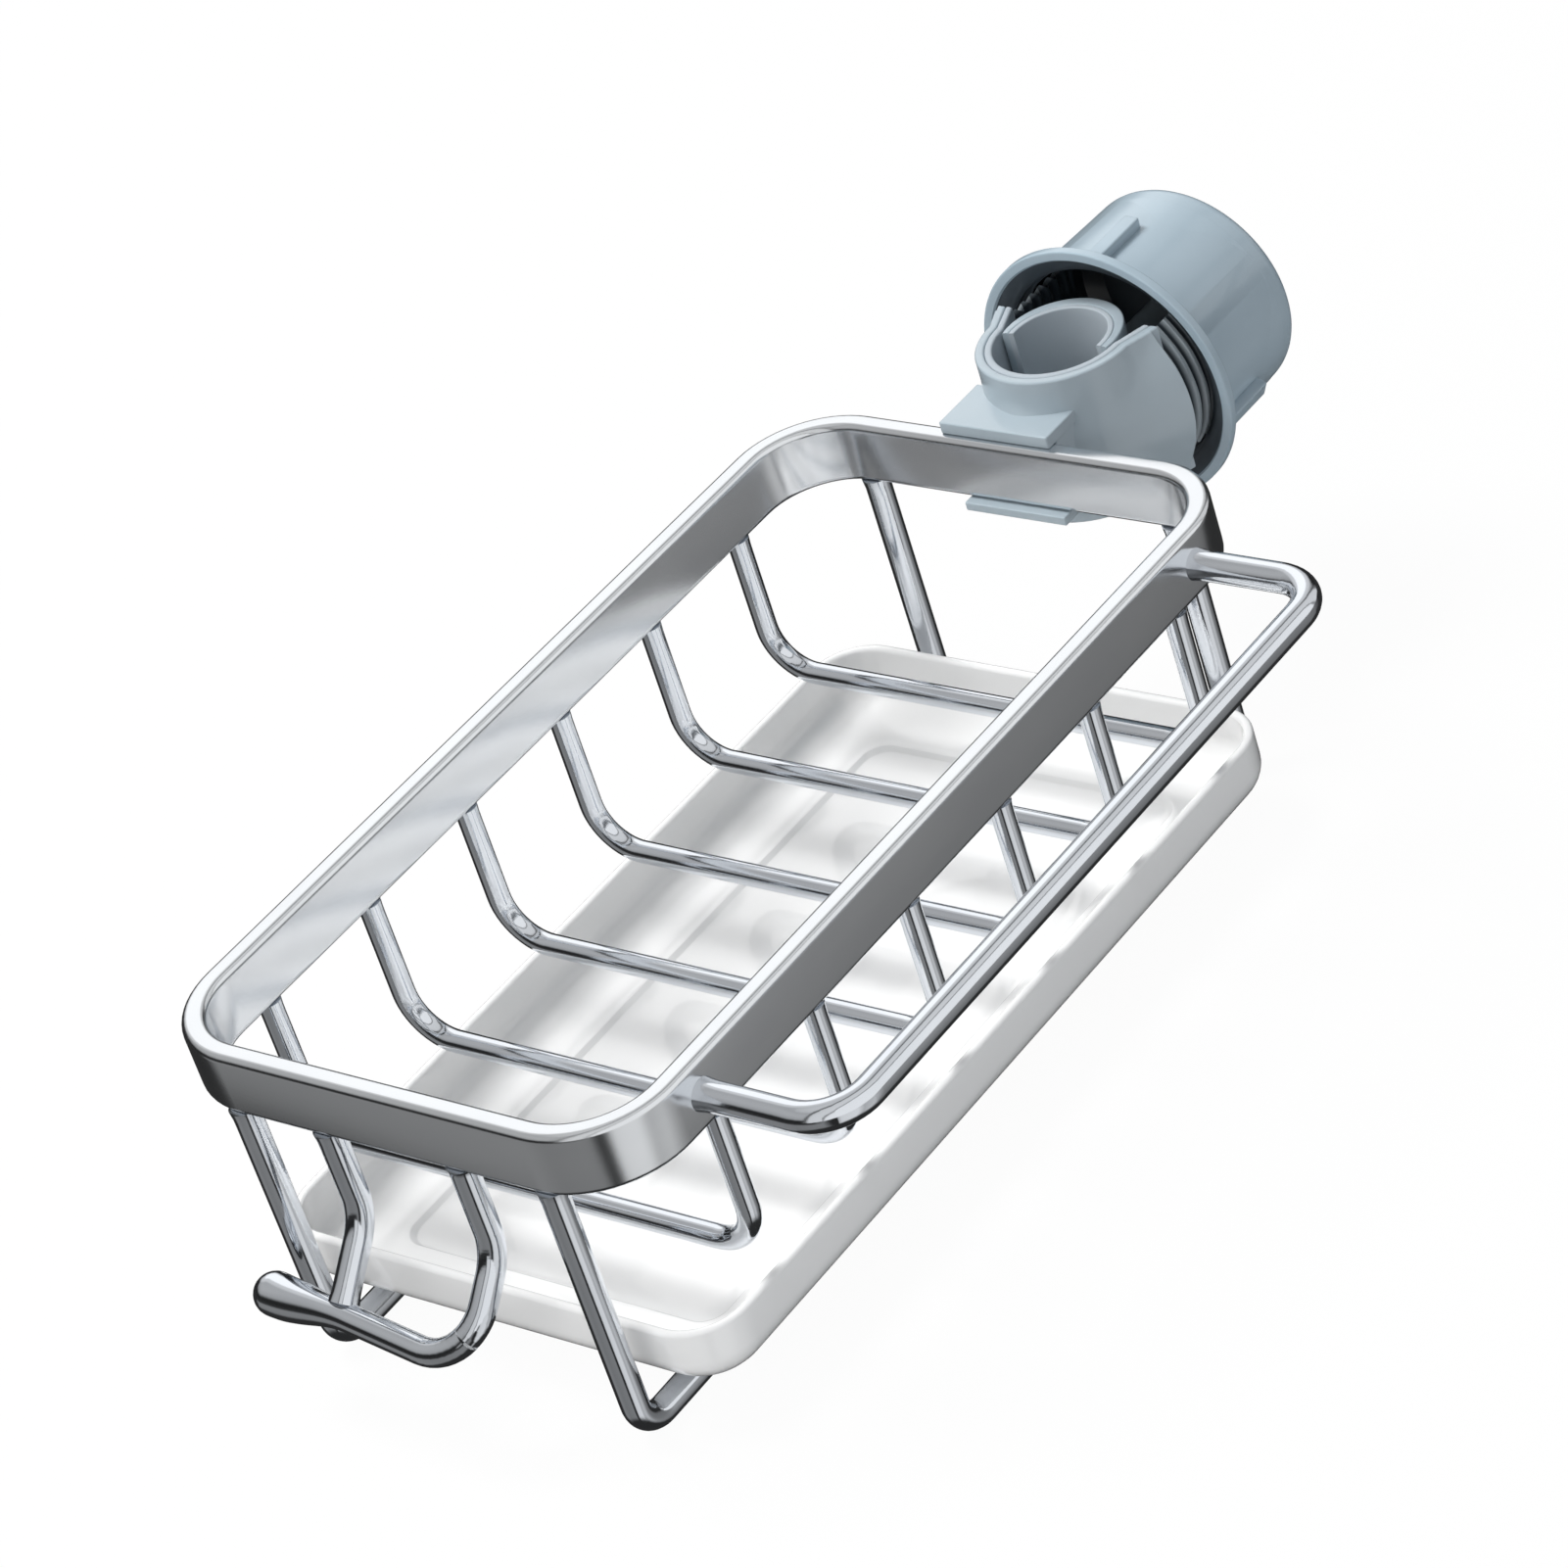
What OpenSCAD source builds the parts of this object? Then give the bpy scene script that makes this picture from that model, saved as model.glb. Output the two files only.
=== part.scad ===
// Sponge holder: a wire basket with a towel bar, a front hook and a drip tray,
// held on a faucet neck by a split threaded clamp. All sizes are in millimetres.
// +Z is up along the faucet neck and the origin is the neck's axis, level with
// the middle of the rim band. The basket runs towards -Y, the nut towards +Y.

/* [Rim] */
// outer length of the rim band
rim_length = 210; // [180:1:240]
// outer width of the rim band
rim_width = 112; // [100:1:130]
// height of the band
band_height = 13.6; // [10:0.1:18]
// thickness of the band
band_thickness = 4.9; // [4:0.1:6]
// outer radius of the rim's corners
rim_corner = 20; // [16:1:30]

/* [Ribs] */
// diameter of the rib wire
rib_wire = 4.6; // [3:0.1:4.9]
// distance from one rib to the next
rib_pitch = 30.4; // [24:0.1:31]
// depth of the ribs' lowest surface under the rim's top
rib_depth = 47.8; // [36:0.1:47.8]
// bend radius of the ribs, to the wire's middle
rib_bend = 10; // [6:0.5:14]

/* [Tray rails] */
// diameter of the rail wire
rail_wire = 5.4; // [4:0.1:6]
// distance between the two rails
rail_spacing = 74; // [60:1:76]
// depth of the rails' lowest surface under the rim's top
rail_depth = 73.7; // [70:0.1:80]
// bend radius of the rails, to the wire's middle
rail_bend = 6; // [4:0.5:12]

/* [Towel bar] */
// diameter of the towel bar wire
towel_wire = 6; // [5:0.1:8]
// distance between the bar's two ends
towel_length = 162; // [120:1:164]
// how far the bar sits towards the clamp from the rim's middle
towel_shift = 2; // [0:0.5:2]
// reach of the bar's middle line past the rim
towel_reach = 29.5; // [20:0.5:45]
// bend radius of the bar, to the wire's middle
towel_bend = 10; // [7:0.5:14]

/* [Front hook] */
// diameter of the hook wire
hook_wire = 5.4; // [4:0.1:6]
// distance between the hook's two legs
hook_spacing = 32; // [26:1:34]
// length of the upright part of the legs, down to where they lean forward
hook_upright = 20.4; // [14:0.1:26]
// length of the sloping part, from the lean to the bar's middle line
hook_slope = 22; // [20:0.5:26]
// angle by which the legs lean forward
hook_lean = 45; // [30:1:60]
// bend radius where the legs lean, to the wire's middle
hook_bend = 12; // [6:0.5:16]
// bend radius of the turn from a leg into the bar, to the wire's middle
hook_turn = 11; // [6:0.5:12]
// angle by which the bar climbs towards its free end
hook_climb = 6; // [0:1:10]
// reach of the bar's free end past its second leg
hook_overhang = 22; // [20:1:28]
// diameter of the swollen end of the bar
hook_tip = 7.4; // [6:0.1:9]

/* [Drip tray] */
// length of the tray, between the rails' legs
tray_length = 192; // [150:1:194]
// width of the tray, the way it slides out
tray_width = 108; // [90:1:120]
// height of the tray
tray_height = 16; // [15:0.5:17]
// outer corner radius of the tray
tray_corner = 13; // [12:1:20]
// wall thickness of the tray
tray_wall = 2; // [1.6:0.1:2.4]
// height of the upright lip above the rounded underside
tray_lip = 8; // [7:0.5:9]
// depth of the recess in the tray's floor
tray_step = 1; // [0.6:0.1:1.2]
// clearance between the tray and the rails
tray_gap = 0.2; // [0.1:0.05:0.5]

/* [Clamp bracket] */
// inner radius of the fixed jaw
fixed_jaw_radius = 13.4; // [13.3:0.1:14]
// thickness of the fixed jaw's wall
jaw_wall = 3.6; // [3:0.1:4.5]
// thickness of the soft lining in the fixed jaw
fixed_lining_thickness = 1.6; // [1:0.1:2]
// height of both jaws along the neck
jaw_height = 33.6; // [26:0.2:34]
// half width of the slot between the threaded arms
slot_half = 16; // [15.6:0.1:17]
// distance from the neck's axis to the rim's outer face
seat_to_rim = 20.6; // [19:0.1:24]
// width of the plates that grip the band
clip_width = 25.6; // [18:0.2:30]
// thickness of the plates that grip the band
clip_plate = 2; // [1.6:0.1:3]

/* [Screw thread] */
// largest radius of the cone in front of the thread
shoulder_radius = 24.4; // [23.4:0.1:25]
// crest radius of the threaded arms
thread_radius = 22.8; // [22.4:0.1:23]
// height of the thread ridge
thread_height = 1.2; // [0.8:0.1:1.3]
// distance from one turn of the thread to the next
thread_pitch = 3; // [2.6:0.1:3.6]
// length of the threaded arms
thread_length = 22; // [18:0.5:24]
// clearance between the two threads, square to the axis
thread_gap = 0.3; // [0.2:0.05:0.4]

/* [Moving jaw] */
// inner radius of the moving jaw, that of the neck it grips
seat_radius = 10.2; // [9:0.1:10.3]
// thickness of the moving jaw at its arms, lining included
moving_wall = 2.8; // [2.4:0.1:3]
// thickness of the soft lining in the moving jaw
moving_lining_thickness = 1.2; // [0.8:0.1:1.4]
// diameter of the jaw's stem
stem_diameter = 9; // [8:0.2:10]
// diameter of the button at the stem's end
button_diameter = 13; // [12:0.2:14]
// clearance of the stem and its button in the nut
swivel_gap = 0.08; // [0.05:0.01:0.1]
// clearance between the jaw's guides and the arms
guide_gap = 0.3; // [0.2:0.05:0.4]

/* [Clamp nut] */
// outer radius of the nut's flange
nut_flange = 29.4; // [28.5:0.1:31]
// outer radius of the nut behind its flange
nut_radius = 25.6; // [25.4:0.1:27]
// length of the nut
nut_length = 34; // [32:0.5:38]
// distance from the neck's axis to the nut's mouth
nut_mouth = 10.6; // [10.4:0.1:12]
// thickness of the nut's closed end
nut_end = 2.6; // [2:0.1:4]

/* [Hidden] */
$fn = 64;
// which node is drawn
big = 400;
eps = 0.01;
steel = [0.78, 0.79, 0.80];
grey_plastic = [0.66, 0.72, 0.76];
white_plastic = [0.92, 0.93, 0.93];
lining_grey = [0.80, 0.82, 0.83];

// places worked out from the driving sizes
rim_top = band_height / 2;
rim_bottom = -band_height / 2;
rim_back = -seat_to_rim;
rim_front = rim_back - rim_length;
rim_middle = (rim_back + rim_front) / 2;
wire_x = rim_width / 2 - band_thickness / 2;
rib_z = rim_top - rib_depth + rib_wire / 2;
rail_z = rim_top - rail_depth + rail_wire / 2;
rail_front = rim_front + band_thickness / 2;
rail_back = rim_back - band_thickness / 2;
tray_floor = rail_z + rail_wire / 2 + tray_gap;
tray_foot = tray_height - tray_lip;
tray_margin = tray_foot + 5;
hook_y = rail_front;
lean_z = rim_bottom - hook_upright;
jaw_top = jaw_height / 2;
arm_start = 5.4;
arm_end = arm_start + thread_length;
tip_start = arm_start + 1.7;
thread_core = thread_radius - thread_height;
nut_bore = thread_radius + 0.4;
nut_back = nut_mouth + nut_length;
jaw_outer = seat_radius + moving_wall;
jaw_shift = 1;
jaw_arm = 1.5;
jaw_play = 0.1;
guide_start = jaw_outer + jaw_shift - 2;
guide_end = guide_start + 5;
stem_tip = nut_back - nut_end - 1;
button_length = 3;
boss_front = stem_tip - 7;

// straight wire from the origin up +Z
module wire(length, diameter) {
    cylinder(h = length, d = diameter);
}

// quarter bend of wire: leaves the origin along +Z and ends along +X
module bend(radius, diameter) {
    translate([radius, 0, 0])
        rotate([90, 0, 0])
            rotate([0, 0, 90])
                rotate_extrude(angle = 90)
                    translate([radius, 0])
                        circle(d = diameter);
}

// U of wire in the XZ plane, open at the top: its legs stand at x = -half and
// x = half, from z = top down to the run's middle line at z = low
module wire_u(half, low, top, radius, diameter) {
    for (side = [0, 1]) {
        mirror([side, 0, 0]) {
            translate([half, 0, low + radius])
                wire(top - low - radius, diameter);
            translate([half, 0, low + radius])
                mirror([1, 0, 0])
                    mirror([0, 0, 1])
                        bend(radius, diameter);
        }
    }
    translate([radius - half, 0, low])
        rotate([0, 90, 0])
            wire(2 * (half - radius), diameter);
}

// rounded rectangle centred on the rim's middle
module rounded(width, length, radius) {
    translate([0, rim_middle]) {
        square([width, length - 2 * radius], center = true);
        square([width - 2 * radius, length], center = true);
        for (x = [-1, 1], y = [-1, 1])
            translate([x * (width / 2 - radius), y * (length / 2 - radius)])
                circle(r = radius);
    }
}

// flat band bent to a rounded rectangle
module rim_band() {
    color(steel)
        translate([0, 0, rim_bottom])
            linear_extrude(height = band_height)
                difference() {
                    rounded(rim_width, rim_length, rim_corner);
                    rounded(
                        rim_width - 2 * band_thickness,
                        rim_length - 2 * band_thickness,
                        rim_corner - band_thickness
                    );
                }
}

// one U-shaped rib, counted from the front, its legs welded under the band
module rib(count) {
    color(steel)
        translate([0, rim_middle + (count - 3.5) * rib_pitch, 0])
            wire_u(wire_x, rib_z, rim_bottom, rib_bend, rib_wire);
}

// one rail under the tray, its legs welded under the band's two ends
module tray_rail(side) {
    color(steel)
        translate([side * rail_spacing / 2, (rail_front + rail_back) / 2, 0])
            rotate([0, 0, 90])
                wire_u((rail_back - rail_front) / 2, rail_z, rim_bottom, rail_bend, rail_wire);
}

// towel bar: a U lying flat, its ends welded on the band's right side
module towel_bar() {
    color(steel)
        translate([rim_width / 2, rim_middle + towel_shift, 0])
            rotate([0, 0, -90])
                rotate([90, 0, 0])
                    wire_u(towel_length / 2, -towel_reach, 0, towel_bend, towel_wire);
}

function unit(v) = v / norm(v);

// arc that rounds the corner b of a path a, b, c; its points turn evenly about
// the arc's centre
function arc_corner(a, b, c, radius, steps) =
    let (
        back = unit(a - b),
        ahead = unit(c - b),
        half = acos(back * ahead) / 2,
        centre = b + unit(back + ahead) * radius / sin(half),
        start = b + back * radius / tan(half) - centre,
        end = b + ahead * radius / tan(half) - centre,
        turn = 180 - 2 * half
    )
        [
            for (i = [0 : steps])
                centre + (start * sin((1 - i / steps) * turn) + end * sin(i / steps * turn)) / sin(turn)
        ];

// place on the hook's sloping plane, at a distance down the slope
function on_slope(x, distance) =
    [x, hook_y - distance * sin(hook_lean), lean_z - distance * cos(hook_lean)];

// wire through the points of a path, with its radius at each of them; square_to
// is a direction that the path never follows
module bent_wire(path, radii, square_to) {
    sides = 24;
    last = len(path) - 1;
    rings = [
        for (i = [0 : last])
            let (
                along = unit(path[min(i + 1, last)] - path[max(i - 1, 0)]),
                u = unit(square_to - (square_to * along) * along),
                v = cross(along, u)
            )
                for (k = [0 : sides - 1])
                    path[i] + radii[i] * (cos(360 * k / sides) * u + sin(360 * k / sides) * v)
    ];
    quads = [
        for (i = [0 : last - 1])
            for (k = [0 : sides - 1])
                let (next = (k + 1) % sides)
                    for (face = [
                        [sides * i + k, sides * (i + 1) + k, sides * (i + 1) + next],
                        [sides * i + k, sides * (i + 1) + next, sides * i + next]
                    ])
                        face
    ];
    start = [for (k = [0 : sides - 1]) k];
    end = [for (k = [sides - 1 : -1 : 0]) sides * last + k];
    polyhedron(points = rings, faces = concat(quads, [start, end]));
}

// right leg of the hook and the bar that it turns into, one wire with a swollen,
// rounded free end
module hook_bar() {
    right = hook_spacing / 2;
    run = hook_spacing + hook_overhang;
    swell = 14;
    dome = hook_tip / 2;
    corner = on_slope(right, hook_slope);
    tip = on_slope(right - run, hook_slope - run * tan(hook_climb));
    top = [right, hook_y, rim_bottom];
    lean = [right, hook_y, lean_z];
    back = unit(corner - tip);
    path = concat(
        [top, top - [0, 0, 1]],
        arc_corner(top, lean, corner, hook_bend, 8),
        arc_corner(lean, corner, tip, hook_turn, 16),
        [tip + back * (dome + swell)],
        [for (i = [0 : 7]) tip + back * dome * (1 - sin(11 * i))]
    );
    radii = [
        for (i = [0 : len(path) - 1])
            i < len(path) - 8 ? hook_wire / 2 : dome * cos(11 * (i - len(path) + 8))
    ];
    color(steel)
        bent_wire(path, radii, [1, 1, 1]);
}

// second leg of the hook, cut to seat on the back of the bar
module hook_leg() {
    left = -hook_spacing / 2;
    top = [left, hook_y, rim_bottom];
    lean = [left, hook_y, lean_z];
    seat = hook_slope - hook_spacing * tan(hook_climb);
    foot = on_slope(left, seat - hook_wire / 2 - 0.05);
    path = concat([top, top - [0, 0, 1]], arc_corner(top, lean, foot, hook_bend, 8), [foot]);
    color(steel)
        bent_wire(path, [for (point = path) hook_wire / 2], [1, 0, 0]);
}

// cross-section of the tray: upright lip over a rounded foot, skin thinner
module tray_section(half, skin, top) {
    foot = tray_foot - skin;
    translate([0, skin])
        square([half - skin - foot, top - skin]);
    translate([0, tray_foot])
        square([half - skin, top - tray_foot]);
    translate([half - skin - foot, tray_foot])
        intersection() {
            circle(r = foot);
            translate([-1, -foot])
                square([foot + 1, foot]);
        }
}

// tray body made of its section: turned at the four corners, straight between
// them, round a plain block
module tray_body(skin, top) {
    inner_x = tray_width / 2 - tray_corner;
    inner_y = tray_length / 2 - tray_corner;
    translate([0, rim_middle, 0]) {
        for (side = [0, 1], end = [0, 1])
            mirror([side, 0, 0])
                mirror([0, end, 0])
                    translate([inner_x, inner_y, 0])
                        rotate_extrude(angle = 90)
                            tray_section(tray_corner, skin, top);
        for (side = [0, 1])
            mirror([side, 0, 0])
                translate([inner_x, inner_y, 0])
                    rotate([90, 0, 0])
                        linear_extrude(height = 2 * inner_y)
                            tray_section(tray_corner, skin, top);
        for (end = [0, 1])
            mirror([0, end, 0])
                translate([-inner_x, inner_y, 0])
                    rotate([90, 0, 90])
                        linear_extrude(height = 2 * inner_x)
                            tray_section(tray_corner, skin, top);
        translate([-inner_x, -inner_y, skin])
            cube([2 * inner_x, 2 * inner_y, top - skin]);
    }
}

// shallow tray with a recessed floor
module drip_tray() {
    color(white_plastic)
        translate([0, 0, tray_floor])
            difference() {
                tray_body(0, tray_height);
                translate([0, 0, tray_step])
                    tray_body(tray_wall, tray_height + 1);
                translate([0, 0, tray_wall])
                    linear_extrude(height = tray_step + 1)
                        rounded(tray_width - 2 * tray_margin, tray_length - 2 * tray_margin, 8);
            }
}

// outline of the fixed jaw's opening, grown by wall: a half circle whose arms
// flare out to the slot between the threaded arms
module jaw_outline(wall, reach) {
    tip = slot_half + wall * 0.95;
    circle(r = fixed_jaw_radius + wall);
    polygon([
        [-fixed_jaw_radius - wall, 0],
        [fixed_jaw_radius + wall, 0],
        [tip, tip_start],
        [tip, max(reach, tip_start)],
        [-tip, max(reach, tip_start)],
        [-tip, tip_start]
    ]);
}

// layer of the clamp between the two jaw faces
module jaw_slab(grow = 0) {
    translate([-big / 2, -big / 2, -jaw_top - grow])
        cube([big, big, jaw_height + 2 * grow]);
}

// helical ridge round +Z from z = 0, with its foot at foot_radius and its crest
// at crest_radius; half_foot and half_crest are half its widths there
module ridge(length, foot_radius, crest_radius, half_foot, half_crest) {
    per_turn = 32;
    count = floor(length / thread_pitch * per_turn);
    profile = [
        [foot_radius, -half_foot],
        [crest_radius, -half_crest],
        [crest_radius, half_crest],
        [foot_radius, half_foot]
    ];
    rings = [
        for (i = [0 : count])
            for (corner = profile)
                let (turn = 360 * i / per_turn)
                    [corner[0] * cos(turn), corner[0] * sin(turn), corner[1] + thread_pitch * i / per_turn]
    ];
    turns_in = crest_radius < foot_radius;
    sides = [
        for (i = [0 : count - 1])
            for (k = [0 : 3])
                let (a = 4 * i + k, b = 4 * i + (k + 1) % 4)
                    for (face = [[a, b, b + 4], [a, b + 4, a + 4]])
                        turns_in ? [face[2], face[1], face[0]] : face
    ];
    first = turns_in ? [[0, 1, 2, 3]] : [[3, 2, 1, 0]];
    last = turns_in ? [[4 * count + 3, 4 * count + 2, 4 * count + 1, 4 * count]]
        : [[4 * count, 4 * count + 1, 4 * count + 2, 4 * count + 3]];
    polyhedron(points = rings, faces = concat(sides, first, last));
}

// the two threaded arms, on the nut's axis
module threaded_arms() {
    intersection() {
        rotate([-90, 0, 0])
            translate([0, 0, arm_start - 0.5])
                cylinder(h = thread_length + 0.5, r = thread_core);
        jaw_slab();
    }
    intersection() {
        rotate([-90, 0, 0])
            translate([0, 0, arm_start + thread_pitch / 2])
                ridge(thread_length - thread_pitch, thread_core - 0.4, thread_radius, 1.28, 0.42);
        jaw_slab();
    }
}

// fixed half of the clamp: plates over and under the band, a back plate, the
// fixed jaw, and a cone that widens to the two threaded arms
module clamp_bracket() {
    plate_front = rim_back - 2.6;
    lip_front = rim_back - band_thickness - 1.6;
    clip_depth = 13;
    color(grey_plastic) {
        difference() {
            union() {
                intersection() {
                    rotate([-90, 0, 0])
                        translate([0, 0, rim_back])
                            cylinder(h = arm_start - rim_back, r1 = 7, r2 = shoulder_radius);
                    jaw_slab();
                }
                intersection() {
                    linear_extrude(height = big, center = true)
                        jaw_outline(jaw_wall, tip_start);
                    jaw_slab();
                }
                threaded_arms();
                translate([-clip_width / 2, rim_back, rim_bottom - clip_plate])
                    cube([clip_width, clip_depth, band_height + 2 * clip_plate]);
            }
            linear_extrude(height = big, center = true) {
                jaw_outline(fixed_lining_thickness, tip_start);
                jaw_outline(0, arm_end + 5);
            }
        }
        translate([-clip_width / 2, plate_front, rim_top])
            cube([clip_width, rim_back - plate_front + 1, clip_plate]);
        translate([-clip_width / 2, lip_front, rim_bottom - clip_plate])
            cube([clip_width, rim_back - lip_front + 1, clip_plate]);
    }
}

// soft strip that lines the fixed jaw
module fixed_lining() {
    color(lining_grey)
        linear_extrude(height = jaw_height, center = true)
            difference() {
                jaw_outline(fixed_lining_thickness, tip_start);
                jaw_outline(0, tip_start + 1);
                translate([-big / 2, tip_start])
                    square([big, big]);
            }
}

// everything behind the moving jaw's two arm ends
module behind_arms() {
    translate([-big / 2, -jaw_arm])
        square([big, big]);
}

// moving half of the clamp: an open arch round the neck, guides that run in the
// slot, and a stem whose button turns in the nut
module clamp_jaw() {
    color(grey_plastic) {
        difference() {
            union() {
                linear_extrude(height = jaw_height - 2 * jaw_play, center = true)
                    intersection() {
                        translate([0, jaw_shift])
                            circle(r = jaw_outer);
                        behind_arms();
                    }
                translate([guide_gap - slot_half, guide_start, -6])
                    cube([2 * (slot_half - guide_gap), guide_end - guide_start, 12]);
            }
            cylinder(h = big, r = seat_radius + moving_lining_thickness, center = true);
        }
        rotate([-90, 0, 0])
            translate([0, 0, guide_end - 1])
                cylinder(h = stem_tip - guide_end + 1, d = stem_diameter);
        rotate([-90, 0, 0])
            translate([0, 0, stem_tip - button_length])
                cylinder(h = button_length, d = button_diameter);
    }
}

// soft strip that lines the moving jaw and touches the neck
module moving_lining() {
    color(lining_grey)
        linear_extrude(height = jaw_height - 2 * jaw_play, center = true)
            intersection() {
                difference() {
                    circle(r = seat_radius + moving_lining_thickness);
                    circle(r = seat_radius);
                }
                behind_arms();
            }
}

// nut: a flanged cap with an inner thread, grip ribs and a boss that holds the
// button of the moving jaw's stem
module clamp_nut() {
    boss_radius = button_diameter / 2 + 2;
    color(grey_plastic)
        rotate([-90, 0, 0]) {
            difference() {
                union() {
                    nut_shell();
                    translate([0, 0, boss_front])
                        cylinder(h = nut_back - boss_front - 1, r = boss_radius);
                }
                translate([0, 0, boss_front - 1])
                    cylinder(h = stem_tip - boss_front, d = stem_diameter + 2 * swivel_gap);
                translate([0, 0, stem_tip - button_length - swivel_gap])
                    cylinder(h = button_length + 2 * swivel_gap, d = button_diameter + 2 * swivel_gap);
            }
            nut_thread();
        }
}

// shell of the nut round +Z, with its grip ribs
module nut_shell() {
    flange = 2.2;
    fillet = 3;
    small = nut_radius - 1.2;
    rib_count = 3;
    difference() {
        union() {
            rotate_extrude() {
                translate([0, nut_mouth])
                    square([nut_flange, flange]);
                polygon([
                    [0, nut_mouth + 1],
                    [nut_radius, nut_mouth + 1],
                    [small, nut_back - fillet],
                    [small - fillet, nut_back],
                    [0, nut_back]
                ]);
                translate([small - fillet, nut_back - fillet])
                    circle(r = fillet);
            }
            for (k = [0 : rib_count - 1])
                rotate([0, 0, 360 * k / rib_count - 94])
                    translate([nut_radius - 1.6, -2.2, nut_mouth + 1])
                        cube([3.2, 4.4, 15]);
        }
        translate([0, 0, nut_mouth - 1])
            cylinder(h = nut_length - nut_end - 3 + 1, r = nut_bore);
        translate([0, 0, nut_back - nut_end - 3 - eps])
            cylinder(h = 3, r1 = nut_bore, r2 = nut_bore - 3);
        translate([0, 0, nut_mouth - eps])
            cylinder(h = 2.6, r1 = nut_bore + 2.8, r2 = nut_bore);
    }
}

// inner thread of the nut, its turns midway between those of the arms
module nut_thread() {
    first = arm_start + thread_pitch * 2.5;
    translate([0, 0, first])
        rotate([0, 0, 180])
            ridge(thread_pitch * 2, nut_bore + 0.4, thread_core + thread_gap + 0.2, 0.9, 0.3);
}

rim_band();
rib(1);  // rib_1
rib(2);  // rib_2
rib(3);  // rib_3
rib(4);  // rib_4
rib(5);  // rib_5
rib(6);  // rib_6
tray_rail(-1);  // tray_rail_left
tray_rail(1);  // tray_rail_right
towel_bar();
hook_bar();
hook_leg();
drip_tray();
clamp_bracket();
fixed_lining();
clamp_jaw();
moving_lining();
clamp_nut();
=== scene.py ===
import bpy
import numpy as np
from mathutils import Matrix, Vector


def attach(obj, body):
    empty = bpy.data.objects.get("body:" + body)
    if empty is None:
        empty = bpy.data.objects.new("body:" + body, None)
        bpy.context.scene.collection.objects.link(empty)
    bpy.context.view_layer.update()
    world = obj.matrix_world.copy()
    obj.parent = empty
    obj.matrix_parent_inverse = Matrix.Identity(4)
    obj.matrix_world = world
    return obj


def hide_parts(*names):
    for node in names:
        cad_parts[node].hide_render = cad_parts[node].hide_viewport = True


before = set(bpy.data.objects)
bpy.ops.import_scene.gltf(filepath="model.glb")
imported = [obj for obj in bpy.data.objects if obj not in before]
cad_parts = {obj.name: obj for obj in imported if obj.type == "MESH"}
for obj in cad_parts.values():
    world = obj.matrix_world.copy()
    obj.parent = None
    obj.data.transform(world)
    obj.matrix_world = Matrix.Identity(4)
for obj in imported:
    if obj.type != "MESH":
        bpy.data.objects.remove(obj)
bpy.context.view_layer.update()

MM = 0.001

# Rim band
RIM_LENGTH = 210.0
RIM_WIDTH = 112.0
RIM_CORNER = 20.0
BAND_HEIGHT = 13.6
BAND_THICKNESS = 4.9
BAND_ROUNDING = 1.5
BAND_BACK_Y = -20.6
RIM_MIDDLE_Y = BAND_BACK_Y - RIM_LENGTH / 2
RIM_TOP = BAND_HEIGHT / 2
RIM_BOTTOM = -BAND_HEIGHT / 2

# Ribs
RIB_WIRE = 4.6
RIB_PITCH = 30.4
RIB_BEND = 10.0
RIB_Z = -38.7
RIB_COUNT = 6
RIB_BEAD = 0.055

# Rails under the tray
RAIL_WIRE = 5.4
RAIL_BEND = 6.0
RAIL_X = 37.0
RAIL_Z = -64.2

# Towel bar
TOWEL_WIRE = 6.0
TOWEL_LENGTH = 162.0
TOWEL_SHIFT = 2.0
TOWEL_REACH = 29.5
TOWEL_BEND = 10.0

# Weld beads: how much a wire's end swells, and the length it fades over
WIRE_BEAD = 0.10
BEAD_REACH = 0.9

# Front hook
HOOK_WIRE = 5.4
HOOK_X = 16.0
HOOK_LEAN_Z = -27.2
HOOK_SLOPE = 22.0
HOOK_LEAN = np.radians(45)
HOOK_BEND = 12.0
HOOK_TURN = 11.0
HOOK_CLIMB = np.tan(np.radians(6))
HOOK_OVERHANG = 23.4
HOOK_TIP = 8.6
HOOK_SWELL = 22.0
HOOK_TIP_BACK = 0.5
HOOK_TIP_DROP = 2.3
HOOK_SPACING = 0.5
HOOK_LEG_BITE = 0.6

# Drip tray
TRAY_LENGTH = 192.0
TRAY_WIDTH = 108.0
TRAY_HEIGHT = 16.0
TRAY_CORNER = 12.0
TRAY_WALL = 2.0
TRAY_FOOT = 9.0
TRAY_DRAFT = 15.0
TRAY_INNER_DRAFT = 12.0
TRAY_LIP = 0.9
TRAY_LEAST_CORNER = 5.0
TRAY_MARGIN = 1.5
TRAY_STEP = 1.0
TRAY_STEP_WIDTH = 1.2
TRAY_BOTTOM = -61.3

# Clamp: the neck's axis is Z, and the screw's axis is Y
JAW_RADIUS = 13.4
JAW_WALL = 3.6
JAW_TOP = 16.8
JAW_LINING = 1.6
SLOT_HALF = 16.0
JAW_TIP_Y = 7.1
SHOULDER_Y = 5.4
SHOULDER_RADIUS = 24.4
CONE_RADIUS = 7.0
CONE_BLEND = 1.2
CLIP_LEFT = -12.2
CLIP_RIGHT = 12.8
CLIP_PLATE = 2.0
CLIP_DEPTH = 9.0
CLIP_OVERLAP = 1.6
CLIP_INSET = 0.4
CLIP_ROUNDING = 0.5
TOP_PLATE_LEFT = -15.6
TOP_PLATE_RIGHT = 10.8
TOP_PLATE = 2.7
TOP_PLATE_LIP = 3.0
TOP_PLATE_TAIL = 2.0
UNDER_PLATE_LIP = 1.6
UNDER_PLATE_TAIL = 4.0
PLATE_ROUNDING = 0.35

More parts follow.
